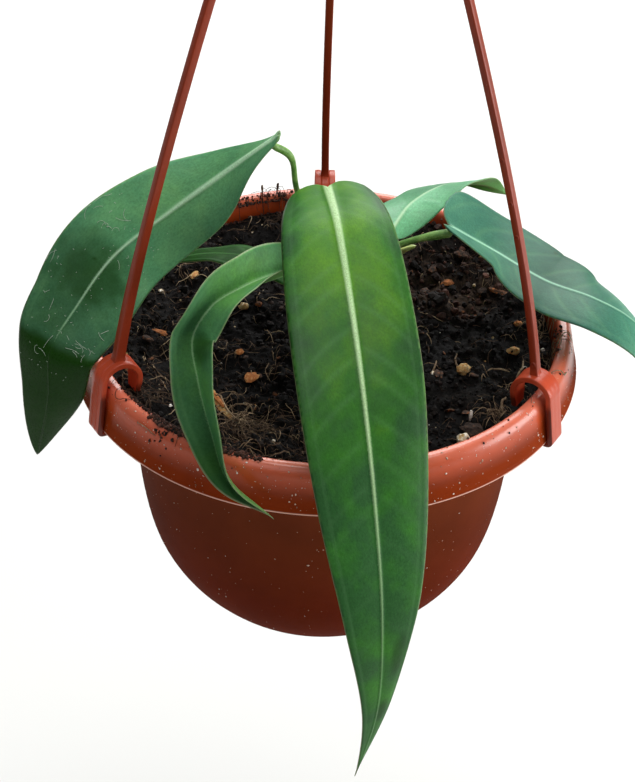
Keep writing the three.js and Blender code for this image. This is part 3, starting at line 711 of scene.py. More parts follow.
def makeHanger(material):
    # Each arm's strap, bar and marks turned to its bearing, then the hub and the hook
    grids, sides = [], []
    for arm in hanger["arms"]:
        clip, side = clipGrid(arm)
        own = [clip, rodGrid(arm), *nubGrids(arm)]
        grids += [turnAboutZ(grid, arm["azimuth"]) for grid in own]
        sides += [side, *(np.zeros(grid.shape[:2]) for grid in own[1:])]
    hub = roundedOutline([(r, hanger["meet"] + z, cut) for r, z, cut in hanger["hub"]])
    grids += [turned(hub, hanger["hubSides"]), hookGrid()]
    sides += [np.zeros(grid.shape[:2]) for grid in grids[-2:]]
    # painted shade on the straps' narrow sides; bars, marks, hub and hook get none
    values = {"side": np.concatenate([side.ravel() for side in sides])}
    addPiece("hanger_with_hook", [wrapped(grid) for grid in grids], material,
             ["hanger"], values, hanger["sharpOver"])


hangerLook = {
    # painted light and shade by height: the clips lighter and the bars darker
    **plasticLook, "tones": [(-14, "#B8482C"), (5, "#B8482C"), (9, "#8A3018"), (60, "#8C3218")],
    "edge": "#B04024", "grime": 0.03, "shine": 0.1, "glossLow": 0.35, "glossHigh": 0.35,
}
hangerPlastic = mouldedPolypropylene("terracotta_polypropylene_hanger", hangerLook)
makeHanger(hangerPlastic)
print("hanger made")


# The potting mix, heaped against the collar at the front left and the back

mix = {
    "level": -9.5, "around": 400, "inward": 150, "clear": 0.3, "mound": 2.2, "moundReach": 22,
    # bearing in degrees and height of each bank
    "banks": [(226, 4.4), (110, 2.6)],
    # where the mix is coarse and brown, and the bank of coarse mix beside it
    "clodX": 38, "clodY": 34, "clodReach": 30, "clodBank": (50, 4),
    # the sizes of clods, crumbs and grains, and how high they stand
    "clodMm": 6, "clodRise": 0.9, "coarseRise": 1.1, "crumbMm": 2.6, "crumbRise": 0.8,
    "grainMm": 1.2, "grainRise": 0.5, "seed": 11,
}
crown = {"x": 6, "y": 9, "radius": 6.5, "top": -2.5, "root": -24, "around": 96}


def toward(x, y, bearing, power):
    # 1 on a bearing, falling off to both sides as a power of the cosine
    return np.maximum(0, np.cos(np.arctan2(y, x) - np.radians(bearing))) ** power


def soilHeight(x, y):
    # Sums of sines for the lumps, banks toward two bearings near the collar, a mound at the crown
    r = np.hypot(x, y)
    lumps = (0.9 * np.sin(x / 7.3 + 0.8) * np.cos(y / 6.1 - 0.4)
             + 0.6 * np.sin((x + y) / 4.1) * np.cos((x - 1.4 * y) / 5.2)
             + 0.35 * np.sin(x / 2.3 + 1.7 * np.sin(y / 3.1)))
    bank = fade(r, 44, 64) * sum(rise * toward(x, y, bearing, 3) for bearing, rise in mix["banks"])
    away = ((x - crown["x"]) / mix["moundReach"]) ** 2 + ((y - crown["y"]) / mix["moundReach"]) ** 2
    return mix["level"] + lumps * (1 - 0.5 * fade(r, 55, 66)) + bank + mix["mound"] * np.exp(-away)


def cloddy(x, y):
    # 1 where the mix is coarse and brown, at the back right, falling to 0 past the reach
    reach = mix["clodReach"]
    return 1 - fade(np.hypot(x - mix["clodX"], y - mix["clodY"]), 0.5 * reach, reach)


def crumbled(x, y):
    # The mix's broad height, the coarse bank, and value noise at clod, crumb and grain size
    r = np.hypot(x, y)
    clodRise = mix["clodRise"] + mix["coarseRise"] * cloddy(x, y)
    fine = (clodRise * valueNoise(x, y, mix["clodMm"], mix["seed"])
            + mix["crumbRise"] * valueNoise(x, y, mix["crumbMm"], mix["seed"] + 1)
            + mix["grainRise"] * valueNoise(x, y, mix["grainMm"], mix["seed"] + 2))
    bearing, rise = mix["clodBank"]
    heaped = rise * fade(r, 46, 66) * toward(x, y, bearing, 4)
    return soilHeight(x, y) + heaped + fine * (1 - 0.6 * fade(r, 63, 67.5))


def groundHeight(x, y):
    # What loose bits lie on: the mix inside the collar, and the rolled rim and band beyond it
    r = np.hypot(x, y)
    band = np.array(bandProfile()[3:-1])[::-1]
    return np.where(r < pot["collar"] - 0.4, crumbled(x, y), np.interp(r, band[:, 0], band[:, 1]))


def makeMix(material):
    # A skirt that follows the bowl's inside, closed by rings of the crumbled surface
    around, top = mix["around"], pot["collar"] - mix["clear"]
    side = bowlInside(mix["clear"]) + (0, mix["clear"])
    bottom = side[0][1] - 0.5
    side = np.vstack([[(0, bottom), (pot["foot"] - 2.5, bottom)], side,
                      [(top - 0.2, pot["collarFoot"] + 0.8)]])
    radius = top * np.linspace(1, 0, mix["inward"] + 1)[:, None]
    angle = np.linspace(0, 2 * np.pi, around, endpoint=False)
    x, y = radius * np.cos(angle), radius * np.sin(angle)
    body = np.concatenate([turned(side, around), np.stack([x, y, crumbled(x, y)], -1)])
    values = {"brown": cloddy(body[..., 0], body[..., 1]).ravel()}
    addPiece("potting_mix_body", [wrapped(body)], material, ["potting_mix"], values)


darkPeat = peatMix("damp_peat_mix", ["#020101", "#060403", "#140E0A", "#42342A"], 1.3, 19, 0.8)
makeMix(darkPeat)
print("mix made")


# What lies in and on the mix: crumbs, coir strands, bark, sticks, perlite, and spills on the rim

litter = {
    "crumbs": 3600, "crumbMm": (0.7, 2.6), "strands": 1500, "strandMm": (1.5, 12), "strandThick": 0.09,
    "chips": 150, "chipMm": (1.6, 4.6), "beads": 190, "beadMm": (0.25, 1.2),
    "spillMm": (0.4, 1.15), "headings": (0, 6.28), "seed": 21,
    # azimuth from and to in degrees, radius from and to, count
    "spills": [(227, 240, 67, 71.4, 520), (214, 229, 67, 69.6, 150), (229, 236, 71, 74, 26),
               (246, 257, 67, 71.4, 300), (98, 121, 66.5, 69.5, 260), (30, 90, 67.5, 69, 30),
               (345, 359, 67.5, 69.5, 30), (180, 340, 68, 73, 26)],
}
bits = [
    # x, y, length, width, thickness, turn in degrees, tone from dark bark through orange to cream
    (-25.6, -9.8, 2.6, 2.4, 1.6, 20, 0.5), (-21.5, -20.7, 5.2, 4.2, 1.6, 60, 0.5),
    (-25.6, 14.6, 3, 2.4, 2, 0, 0.72), (-21, 14.9, 2.2, 1.8, 1.6, 30, 0.36),
    (-41.9, 30.7, 4.2, 2.4, 1.4, 60, 0.66), (-51.5, 21.2, 1.7, 1.5, 1.4, 0, 0.9),
    (-50.3, -0.2, 5.4, 3, 1.6, -20, 0.42), (-30, -33, 15, 2.8, 1.3, -63, 0.64),
    (-31.4, -31, 11, 1.6, 1.3, -60, 0.5), (-26, -38.5, 6, 2, 1, -45, 0.7),
    (40.6, -14.1, 4.6, 4, 3.4, 0, 0.68), (55.9, -3.7, 3.8, 3, 2.4, 10, 0.66),
    (57.8, 8.1, 2.6, 2.2, 1.6, 0, 0.55), (31.7, -16.4, 1.8, 1.2, 1, 40, 0.85),
    (41.8, -36.8, 2.2, 1, 4.4, 70, 1), (42, -41.3, 7, 5, 3, 10, 0.14),
    (39.5, -46, 4.6, 3.4, 4.6, 15, 0.84), (59.1, -10.3, 1.2, 1.1, 1, 0, 0.98),
    (64.7, -2.9, 1.3, 1.2, 1.1, 0, 0.98), (-43.4, -41, 1.1, 1, 0.9, 0, 1),
    (44.2, 15.5, 8.6, 2.4, 1.6, 2, 0.34), (53.5, 25.5, 8.8, 2.2, 1.6, -26, 0.3),
    (48, 43.2, 2.2, 1.6, 1, 0, 0.7), (37.3, 31.4, 4.2, 2.8, 1.4, 20, 0.42),
    (48.1, 27.3, 4.4, 2.8, 1.8, 60, 0.2), (40.7, 20.7, 4, 3, 1.8, 110, 0.22),
    (33, 37, 5, 3.6, 2.4, 40, 0.24), (42, 44, 5.5, 3.6, 2.6, -20, 0.2), (30, 27, 4.6, 3, 2, 70, 0.2),
]
sticks = [
    # start x and y, heading in degrees, length, curl in radians, lift, thickness, tone
    (32.7, -10.7, -113, 6.5, 0.3, 0.5, 0.3, 0.7), (39.3, -3.9, -95, 7.5, 0.2, 0.6, 0.35, 0.65),
    (47.3, -13.4, 55, 7.5, -1.4, 0.8, 0.32, 0.8), (58.7, -7.1, -110, 12.5, 0.3, 1, 0.4, 0.75),
    (52.6, -24.9, -102, 8.5, 0.2, 1.6, 0.4, 0.7), (-46, -12, -60, 11, 0.6, 1, 0.3, 0.5),
    (-52, -20, -20, 12, -0.5, 1, 0.3, 0.45), (-58.5, -24, -80, 11, 0.7, 0.8, 0.28, 0.6),
    (62, -26, 0, 12, 0.5, 1.2, 0.2, 0.8), (66, -14, 70, 9, -0.8, 2.4, 0.2, 0.8),
    (-20, -62, 20, 12, 0.5, 0.8, 0.25, 0.6), (-50, -50, 230, 12, 1.2, 1, 0.16, 0.8),
    (-18, 66, 75, 9, 0.6, 3, 0.3, 0.35), (-22, 64, 110, 8, -0.7, 2.5, 0.25, 0.5),
    (8, -50, 30, 10, 0.8, 0.8, 0.2, 0.65), (20, 50, 160, 12, 0.6, 1, 0.25, 0.5),
    (-33.5, -25.5, -66, 19, 0.45, 1.4, 0.3, 0.8), (-31, -33, -48, 14, 0.5, 1, 0.25, 0.5),
]
mats = [
    # x, y, reach, strands, their length, tone: tangles of fine coir
    (-22, -46, 9, 110, 9, 0.62), (-24, -39, 6, 50, 8, 0.9), (49.7, -34.5, 4.5, 40, 6, 0.75),
    (63, 6, 4, 40, 6, 0.85), (66, -8, 3, 24, 6, 0.8), (46, 40, 8, 40, 7, 0.35),
    (-50, -35, 8, 50, 8, 0.45), (-17, 62, 6, 40, 7, 0.4), (2, -56, 8, 50, 8, 0.5),
    (-35, -52, 7, 50, 7, 0.4),
]


def strandGrids(x, y, heading, length, curl, lift, thick, steps=9, sides=4):
    # Thin tubes lying on the ground: each sets off along its heading, turns steadily by its curl, and
    # rises in the middle by its lift as a half sine
    x, y, heading, length, curl, lift, thick = (np.asarray(v, float)[:, None] for v in (
        x, y, heading, length, curl, lift, thick))
    share = np.linspace(0, 1, steps)
    angle = heading + curl * share + 0.25 * np.sin(5 * share + 9 * heading)
    stride = length / (steps - 1)
    x = x + np.cumsum(np.cos(angle) * stride, 1) * (share > 0)
    y = y + np.cumsum(np.sin(angle) * stride, 1) * (share > 0)
    inward = np.minimum(1, (pot["rim"] - 2) / np.hypot(x, y))
    x, y = x * inward, y * inward
    z = groundHeight(x, y) + thick + lift * np.sin(np.pi * share)
    radius = thick * (1 - 0.5 * (2 * share - 1) ** 4)
    return sweep(np.stack([x, y, z], -1), roundSection(radius, sides), np.array([0, 0, 1.0]))


def makeCrumbs(material):
    # Angular crumbs, mostly small: the size grows with the third power of an even draw
    draw = np.random.default_rng(litter["seed"])
    count = litter["crumbs"]
    x, y = discSpots(draw, count, 0, pot["collar"] - 1)
    tone = draw.uniform(0.02, 0.5, count) + 0.5 * cloddy(x, y) * draw.uniform(0.3, 1, count)
    small, large = litter["crumbMm"]
    size = small * (large / small) ** (draw.uniform(0, 1, count) ** 3) * (1 + 0.5 * cloddy(x, y))
    for start, stop, inner, outer, spill in litter["spills"]:
        angle = np.radians(draw.uniform(start, stop, spill))
        r = draw.uniform(inner, outer, spill)
        x, y = np.append(x, r * np.cos(angle)), np.append(y, r * np.sin(angle))
        size = np.append(size, draw.uniform(*litter["spillMm"], spill) ** 1.5)
        tone = np.append(tone, draw.uniform(0.5, 0.95, spill))
    sizes = size[:, None] / 2 * draw.uniform(0.65, 1.1, (len(x), 3))
    centres = np.stack([x, y, groundHeight(x, y) + 0.22 * size], -1)
    grids = placed(lumpGrids(draw, len(x), 0.3), sizes, restingTurns(draw, len(x), 3), centres)
    addLitter("mix_crumbs", grids, tone, material, sharpOver=20)


def makeStrands(material):
    # Coir strands strewn over the mix, more of them at the front left, the sticks and the tangles
    draw = np.random.default_rng(litter["seed"] + 1)
    x, y = discSpots(draw, 3 * litter["strands"], 0, pot["collar"] - 4)
    wanted = 0.2 + 0.6 * fade(-x - 0.6 * y, -10, 55) + 0.4 * fade(np.hypot(x, y), 42, 60)
    kept = np.flatnonzero(draw.uniform(0, 1, len(x)) < wanted)[:litter["strands"]]
    count = len(kept)
    low, high = litter["strandMm"]
    length = low * (high / low) ** (draw.uniform(0, 1, count) ** 1.6)
    thick = litter["strandThick"] * draw.uniform(0.6, 1.5, count)
    grids = [strandGrids(x[kept], y[kept], draw.uniform(*litter["headings"], count), length,
                         draw.normal(0, 0.9, count), draw.uniform(0.1, 1.6, count), thick)]
    tone = [draw.uniform(0.1, 1, count) ** 2]
    x, y, heading, length, curl, lift, thick, shade = np.array(sticks, float).T
    grids.append(strandGrids(x, y, np.radians(heading), length, curl, lift, thick))
    tone.append(shade)
    for cx, cy, reach, number, long, shade in mats:
        dx, dy = draw.normal(0, reach / 2.2, (2, number))
        heading = draw.uniform(*litter["headings"], number)
        length = long * draw.uniform(0.5, 1.2, number)
        curl, lift = draw.normal(0, 1.8, number), draw.uniform(0.3, 2.2, number)
        thick = draw.uniform(0.06, 0.13, number)
        grids.append(strandGrids(cx + dx, cy + dy, heading, length, curl, lift, thick))
        tone.append(shade * draw.uniform(0.6, 1.1, number))
    addLitter("coir_strands", np.concatenate(grids), np.concatenate(tone), material)


def makeBits(material):
    # The bits that stand out, at their places, then bark chips and perlite beads strewn at random
    draw = np.random.default_rng(litter["seed"] + 2)
    x, y, *sizes, degrees, tone = np.array(bits, float).T
    angle = np.radians(degrees)
    c, s, zero = np.cos(angle), np.sin(angle), 0 * angle
    turns = np.moveaxis(np.array([[c, s, zero], [-s, c, zero], [zero, zero, 1 + zero]]), -1, 0)
    chips, beads = litter["chips"], litter["beads"]
    cx, cy = discSpots(draw, chips + beads, 0, pot["collar"] - 2)
    long = draw.uniform(*litter["chipMm"], chips) * draw.uniform(0.5, 1, chips)
    wide, deep = long * draw.uniform(0.35, 0.8, chips), long * draw.uniform(0.15, 0.4, chips)
    least, most = litter["beadMm"]
    ball = least + (most - least) * draw.uniform(0, 1, (beads, 1)) ** 4
    ball = ball * draw.uniform(0.7, 1, (beads, 3))
    x, y = np.append(x, cx), np.append(y, cy)
    sizes = np.vstack([np.stack(sizes, -1), np.stack([long, wide, deep], -1), ball]) / 2
    turns = np.concatenate([turns, restingTurns(draw, chips, 0.35), restingTurns(draw, beads, 3)])
    tone = np.concatenate([tone, draw.uniform(0.02, 0.3, chips), draw.uniform(0.65, 1, beads)])
    centres = np.stack([x, y, groundHeight(x, y) + 0.55 * sizes[:, 2]], -1)
    grids = placed(lumpGrids(draw, len(x), 0.2, 7, 10), sizes, turns, centres)
    addLitter("bark_and_perlite", grids, tone, material, sharpOver=24)


makeCrumbs(litterMaterial("peat_crumbs", ["#020101", "#080504", "#140D09", "#38221A", "#624034"], 0.8))
makeStrands(litterMaterial("coir_strands", ["#120C08", "#35261C", "#6E5A46", "#B49C7C"], 0.9))
makeBits(litterMaterial("bark_and_perlite", ["#140D09", "#3E3028", "#A5612F", "#B59A66", "#F0ECE2"], 0.9))
print("litter laid")


# Pale grit on the pot: grains stuck to the band and the bowl

# grains drawn on the band and on the bowl; those without a direction are left out
grit = {"band": 1500, "bowl": 420, "sizeMm": (0.16, 0.62), "seed": 24}


def profileSpots(draw, outline, count):
    # Random places on a turned surface, with the directions round it, along it and out of it
    path = roundedOutline(outline)
    spot, along, _ = alongCurve(path, draw.uniform(0, 1, count))
    angle = draw.uniform(0, 2 * np.pi, count)
    outward = np.stack([np.cos(angle), np.sin(angle), 0 * angle], -1)
    upward = outward * along[:, :1] + np.array([0, 0, 1.0]) * along[:, 1:]
    side = np.stack([-np.sin(angle), np.cos(angle), 0 * angle], -1)
    centre = outward * spot[:, :1] + np.array([0, 0, 1.0]) * spot[:, 1:]
    return centre, np.stack([side, upward, np.cross(side, upward)], 1)


def makeGrit(material):
    # Flat grains, mostly small, on the outside of the band and the bowl
    draw = np.random.default_rng(grit["seed"])
    band = [(r, z, 1) for r, z, _ in bandProfile()[2:9]]
    bowl = [(r, z, 9) for r, z in pot["bowl"][1:]]
    spots = [profileSpots(draw, band, grit["band"]), profileSpots(draw, bowl, grit["bowl"])]
    centres, turns = (np.concatenate(pair) for pair in zip(*spots))
    count, (small, large) = len(centres), grit["sizeMm"]
    size = small + (large - small) * draw.uniform(0, 1, count) ** 4
    sizes = size[:, None] / 2 * draw.uniform(0.6, 1.7, (count, 3)) * (1, 1, 0.5)
    grids = placed(lumpGrids(draw, count, 0.2, 4, 5), sizes, turns, centres)
    tone, sound = draw.uniform(0, 1, count), np.isfinite(turns).all((1, 2))
    addLitter("grit_on_pot", grids[sound], tone[sound], material)


makeGrit(litterMaterial("dried_grit", ["#3A241A", "#A8846A", "#D9C6B4", "#F2ECE4"], 0.5))
print("grit laid")


# Leaves. A rib curve carries a blade whose half width follows a formula; both faces share one grid

plainLeaf = {
    "wide": 18, "widest": 0.34, "base": 0.5, "shoulder": 0.45, "taper": 1.25, "lean": 0, "lobe": 3,
    "curl": 0.02, "fold": 0.14, "foldTip": 0.14, "droop": 0.2, "wave": 0.5, "waves": 3, "keel": 0.9,
    "thick": 0.5, "rows": 190, "columns": 72, "ribWide": 1.3, "veinGap": 10.5, "relief": 0.05, "seed": 1,
    "yellow": 0.3, "stalkRadius": 1.5, "spots": [], "shade": 0, "shadeFrom": 0.7, "shadeSoft": 0.1,
    "ribTo": 1, "ribTaper": 1, "tones": [(0, 1), (1, 1)], "rightTones": None,
}

# Each leaf's tones and rightTones paint light and shade along the two halves of its blade, such as the lit
# and shaded halves of the curled leaf's fold; shade paints shade from shadeFrom on
leaves = {
    "front": {
        "rib": [(-1, 3, 42), (2, -19, 44), (6, -42, 35), (10, -65, 22), (14, -86, 1), (17, -102, -25),
                (17, -106, -55), (12, -106, -83)],
        "heading": -80, "roll": [6, -8, -11, -30], "yellow": 0.72, "ribWide": 2.4, "ribTaper": 1.6, "seed": 3,
        "root": (6, 4.8), "stalk": [(6.2, 6.5, 14), (3.4, 6.5, 32)], "stalkRadius": 1.7,
        "spots": [(0.765, -0.62, 0.035, 0.3, 0.8), (0.86, -0.35, 0.02, 0.4, 0.8)],
        "tones": [(0, 0.92), (0.15, 0.92), (0.3, 0.6), (0.42, 0.74), (0.6, 1.1), (1, 0.95)],
    },
    "left": {
        "rib": [(-16.5, -6, 62.5), (-31, -2.5, 48.5), (-46.5, -7, 38), (-61, -15, 28.5),
                (-70.5, -26, 18.5), (-77, -34.5, 9.5), (-78.5, -36, -6), (-84, -31.5, -31.5)],
        "heading": 202, "roll": [13, -69, -42, -75], "wide": 15.2, "widest": 0.43, "base": 0.15,
        "shoulder": 0.99, "taper": 0.76, "lean": -0.07, "lobe": 3.4, "curl": 0.08, "fold": 0.1,
        "foldTip": -0.09, "droop": 0.22, "seed": 5, "ribTo": 0.68, "ribWide": 2.1, "ribTaper": 1.35,
        "root": (2, 10), "stalk": [(-4, 6, 19), (-10, 5.6, 40), (-11.8, 0, 54)], "stalkRadius": 0.95,
        # the first two spots paint the shade of a dip in the blade; the others are specks and smears. Shade
        # paints the shade of the part bent down past shadeFrom
        "spots": [(0.5, 0.12, 0.085, 0.8, 0.85), (0.58, 0.25, 0.07, 0.6, 0.4),
                  (0.472, 0.23, 0.006, 0.06, 1.1), (0.682, -0.08, 0.006, 0.12, 1),
                  (0.73, 0.03, 0.007, 0.1, 0.9)],
        "shade": 1.1, "shadeFrom": 0.65, "shadeSoft": 0.03,
        "tones": [(0, 1.9), (0.25, 1.9), (0.4, 2.1), (0.5, 1.15), (0.64, 0.78), (1, 0.75)],
    },
    "curled": {
        "rib": [(-3, -17, 30), (-14, -27.5, 32.5), (-23.5, -37.5, 34.5), (-31.5, -45.5, 33.5),
                (-36, -50, 26.5), (-34, -58, 18), (-30, -66, 7), (-25, -72.5, -4.5),
                (-12.5, -78.5, -12.5)],
        "heading": -110, "roll": [12, -30, -5, 5], "wide": 5.9, "widest": 0.56, "base": 0.26,
        "shoulder": 0.65, "taper": 1.41, "lean": 0.8, "lobe": 2.8, "fold": 0.86, "foldTip": 1.38,
        "droop": -0.38, "wave": 0.3, "columns": 56, "ribWide": 1.1, "veinGap": 8, "relief": 0.03,
        "seed": 7, "root": (2.6, 6.4), "stalk": [(1, 2, 8), (-1, -6, 20)], "stalkRadius": 1.4,
        "spots": [(0.5, -0.5, 0.06, 0.5, 0.8)],
        "shade": 0.6, "shadeFrom": 0.62, "shadeSoft": 0.2,
        "tones": [(0, 1.6), (0.25, 1.6), (0.42, 1.2), (0.6, 0.75), (1, 0.8)],
        "rightTones": [(0, 1.3), (0.3, 1.2), (0.5, 1.2), (0.65, 2), (0.85, 2.8), (1, 2)],
    },
    "right": {
        "rib": [(35, 3, 30), (48.5, 4.5, 21), (63.5, -2.5, 16), (77, -7.5, 14), (89, -8, 7),
                (102, -8, -9.5), (116.5, -10, -30.5)],
        "heading": -10, "roll": [-6, -2, -10, -4], "wide": 16.5, "widest": 0.27, "base": 0.4,
        "taper": 0.94, "lean": -0.47, "lobe": 3.5, "fold": 0.38, "foldTip": -0.41, "droop": 0.14,
        "wave": 0.3, "yellow": 0.25, "seed": 9, "root": (10, 7),
        "stalk": [(11, 7.6, 8), (14, 6, 17.3), (24, 4, 24.6)], "stalkRadius": 1.15,
        "spots": [(0.275, -0.85, 0.008, 0.05, 0.9)],
        "tones": [(0, 1.1), (0.2, 0.8), (0.3, 0.55), (0.5, 1), (0.6, 1.4), (1, 1.5)],
    },
    "back": {
        "rib": [(18.5, 14, 22), (24, 25.5, 23.5), (34.5, 36, 24), (47, 42, 21.5), (55.5, 47, 14.5)],
        "heading": 50, "roll": [29, -11, -30, -78], "wide": 8.9, "base": 0.46, "shoulder": 0.66,
        "taper": 1.13, "lean": -0.18, "lobe": 2.3, "fold": -0.19, "foldTip": 0.3, "droop": 0.17,
        "wave": 0.2, "columns": 56, "ribWide": 0.8, "veinGap": 8, "relief": 0.06,
        "seed": 11, "root": (7.6, 13.2), "stalk": [(9.6, 13.2, 6), (13, 12, 15)],
        "tones": [(0, 2), (0.4, 1.8), (0.5, 1.4), (1, 1.2)],
        "rightTones": [(0, 1.5), (0.5, 1.1), (1, 1.1)],
    },
    "low": {
        "rib": [(-8, 9, 5), (-20, 11, 11), (-34, 11, 13), (-45, 9, 12), (-52, 7, 9)],
        "heading": 180, "roll": [0, 10], "wide": 7, "lobe": 4, "columns": 56, "ribWide": 0.8,
        "veinGap": 8, "relief": 0.06, "seed": 13, "root": (3.6, 13),
        "stalk": [(1, 12.3, 2.4), (-3, 11, 4)], "stalkRadius": 1.2,
    },
}


def halfWidth(leaf, share, v):
    # A power of a sine up to the widest place, then a power of a cosine out to the tip. A lean makes
    # the base wider on one side
    up = np.sin(np.pi / 2 * np.clip(share / leaf["widest"], 0, 1)) ** leaf["shoulder"]
    past = np.clip((share - leaf["widest"]) / (1 - leaf["widest"]), 0, 1)
    down = np.maximum(0.012, np.maximum(0, np.cos(np.pi / 2 * past)) ** leaf["taper"])
    side = leaf["wide"] * (1 + leaf["lean"] * np.sign(v) * np.maximum(0, 1 - 2 * share) ** 2)
    return side * np.where(share < leaf["widest"], leaf["base"] + (1 - leaf["base"]) * up, down)


def ribFrame(leaf, share):
    # The rib's point and directions: along it, to the blade's side and out of its upper face
    middle, along, length = alongCurve(smoothCurve(leaf["rib"]), share)
    heading = math.radians(leaf["heading"])
    level = np.array([math.sin(heading), -math.cos(heading), 0])
    side = unit(level - along * (along @ level)[..., None])
    roll = np.radians(leaf["roll"])
    at = np.clip(share, 0, 1) * (len(roll) - 1)
    i = np.minimum(np.floor(at).astype(int), len(roll) - 2)
    angle = (roll[i] + (roll[i + 1] - roll[i]) * fade(at - i, 0, 1))[..., None]
    side = side * np.cos(angle) + np.cross(along, side) * np.sin(angle)
    return middle, along, side, np.cross(side, along), length


def bladeMiddle(leaf, share, v):
    # The blade's middle surface. Share runs along the rib and v across it, from -1 to 1. The base is
    # swept back in two lobes, and the height is a fold less a droop, with a ripple on the margin
    share, v = np.broadcast_arrays(np.asarray(share, float), np.asarray(v, float))
    half = halfWidth(leaf, share, v)
    swept = np.maximum(0, 1 - share / 0.3) ** 2.2
    back = leaf["lobe"] * swept * np.sin(np.pi * np.abs(v) ** 0.75 * 0.93)
    length = ribFrame(leaf, np.zeros(1))[-1]
    at = share - back / length
    inside = np.clip(at, 0, 1)
    middle, along, side, up, _ = ribFrame(leaf, inside)
    fold = leaf["fold"] + (leaf["foldTip"] - leaf["fold"]) * share
    ripple = leaf["wave"] * np.sin(2 * np.pi * (leaf["waves"] * share + np.where(v > 0, 0, 0.37)))
    height = (half * (fold * np.abs(v) - leaf["droop"] * v**2) + ripple * v**2 * np.sin(np.pi * share)
              + np.where(at < 0, leaf["curl"] * (at * length) ** 2, 0))
    spread = (along * ((at - inside) * length)[..., None] + side * (v * half)[..., None]
              + up * height[..., None])
    return middle + spread, half, length


def sideVeins(leaf, across, along, length):
    # How near each point is to a side vein. A vein leaves the rib forward and bends further forward
    # as it nears the margin; those of the two sides alternate
    draw = np.random.default_rng(leaf["seed"])
    count = int(length / leaf["veinGap"]) + 4
    total = 0
    for sign in (-1, 1):
        starts = (np.arange(count) - 2 + 0.25 * sign) * leaf["veinGap"] + draw.uniform(-2.6, 2.6, count)
        c = np.abs(across)[..., None]
        off = along[..., None] - starts - 0.5 * c - 0.022 * c**2
        between = off - leaf["veinGap"] / 2
        near = np.exp(-(off / 0.9) ** 2).max(-1) + 0.3 * np.exp(-(between / 0.7) ** 2).max(-1)
        total = total + np.where(np.sign(across) == sign, near, 0)
    return total


def bladeMarks(leaf, share, v, half, length):
    # Where the tissue is painted yellower as light shining through it, which fades from the base and
    # toward the margin, and where it is dark or wet as smooth spots, some of which paint the shade of
    # dips, and painted shade that starts at a share of the length
    across, along = v * half, share * length
    seed = leaf["seed"]
    cloud = (0.2 * valueNoise(across + 40, along, 13, seed)
             + 0.18 * valueNoise(across + 40, along, 6, seed + 1)
             + 0.07 * valueNoise(across + 40, along, 2.6, seed + 2))
    band = 1 - fade(np.abs(v), 0.5, 1)
    # painted light shining through the blade, yellower near the base and away from the margin
    yellow = leaf["yellow"] * (0.25 + 0.75 * band) * (1 - 0.85 * fade(share, 0.2, 0.55)) + cloud
    frayed = 0.3 * valueNoise(across + 90, along, 2.2, seed + 3)
    start = leaf["shadeFrom"]
    # painted shade over the part of the blade past shadeFrom
    dark = leaf["shade"] * fade(share + 0.02 * frayed, start, start + leaf["shadeSoft"])
    for s, w, sizeS, sizeV, strength in leaf["spots"]:
        reach = ((share - s) / sizeS) ** 2 + ((v - w) / sizeV) ** 2 + frayed
        dark = np.maximum(dark, strength * (1 - fade(reach, 0, 1.6)))
    return yellow, dark


def bladeTone(leaf, share, v):
    # Painted light and shade along the leaf, read from one run of tones for each half and blended over the
    # rib
    right = leaf["rightTones"] or leaf["tones"]
    left = fade(v, -0.12, 0.12)
    return (np.interp(share, *zip(*leaf["tones"])) * left
            + np.interp(share, *zip(*right)) * (1 - left))


def bladeParts(leaf):
    # The upper and the under face: the middle surface moved out by half the thickness, which thins
    # like a lens at the edge, by the rib and the keel as bell curves, and in by the veins
    rows, columns, ribTo = leaf["rows"], leaf["columns"], leaf["ribTo"]
    share = (np.linspace(0, 1, rows + 1) ** 1.15)[:, None]
    w = np.linspace(-1, 1, columns + 1)[None]
    share, v = np.broadcast_arrays(share, w * (0.55 + 0.45 * w**2))
    middle, half, length = bladeMiddle(leaf, share, v)
    normal = unit(np.cross(np.gradient(middle, axis=1), np.gradient(middle, axis=0)))
    across, along = v * half, share * length
    inset = half * (1 - np.abs(v))
    edge = np.minimum(np.minimum(inset, along), length - along)
    ribHalf = (leaf["ribWide"] / 2 * np.clip(1 - share / ribTo, 0, 1) ** leaf["ribTaper"] + 0.06
               - 0.5 * fade(share, ribTo - 0.06, ribTo + 0.02))
    vein = sideVeins(leaf, across, along, length)
    inner = fade(np.abs(across), 0.6, 3) * fade(edge, 0.6, 3.5)
    marginVein = np.abs(inset - (0.14 * half + 0.5))
    rise = (0.5 * leaf["ribWide"] / 1.9 * (1 - 0.7 * share) * np.exp(-(across / (ribHalf + 0.25)) ** 2)
            - leaf["relief"] * vein * inner - 0.05 * np.exp(-(marginVein / 0.6) ** 2) * inner)
    keel = leaf["keel"] * (1 - 0.8 * share) * np.exp(-(across / 1.3) ** 2) * fade(edge, 0, 1)
    thick = leaf["thick"] / 2 * np.sqrt(np.clip(edge / 0.35, 0, 1))
    top = middle + normal * (thick + rise * fade(edge, 0, 0.8))[..., None]
    bottom = middle - normal * (thick + keel - 0.4 * leaf["relief"] * vein * inner)[..., None]

    yellow, dark = bladeMarks(leaf, share, v, half, length)
    shown = vein * inner * (1 - 0.65 * fade(share, 0.35, 0.65))
    twice = lambda *data: np.vstack([np.stack(data, -1).reshape(-1, len(data))] * 2)
    # tone carries the painted light and shade along the blade
    values = {"place": twice(across, along + 200 * leaf["seed"], edge), "marks": twice(shown, yellow, dark),
              "lines": twice(marginVein, ribHalf, share), "under": np.repeat([0, 1], share.size),
              "tone": twice(bladeTone(leaf, share, v)).ravel()}
    faces = gridFaces(rows + 1, columns + 1)
    return [(top, faces), (bottom, faces[:, ::-1])], values


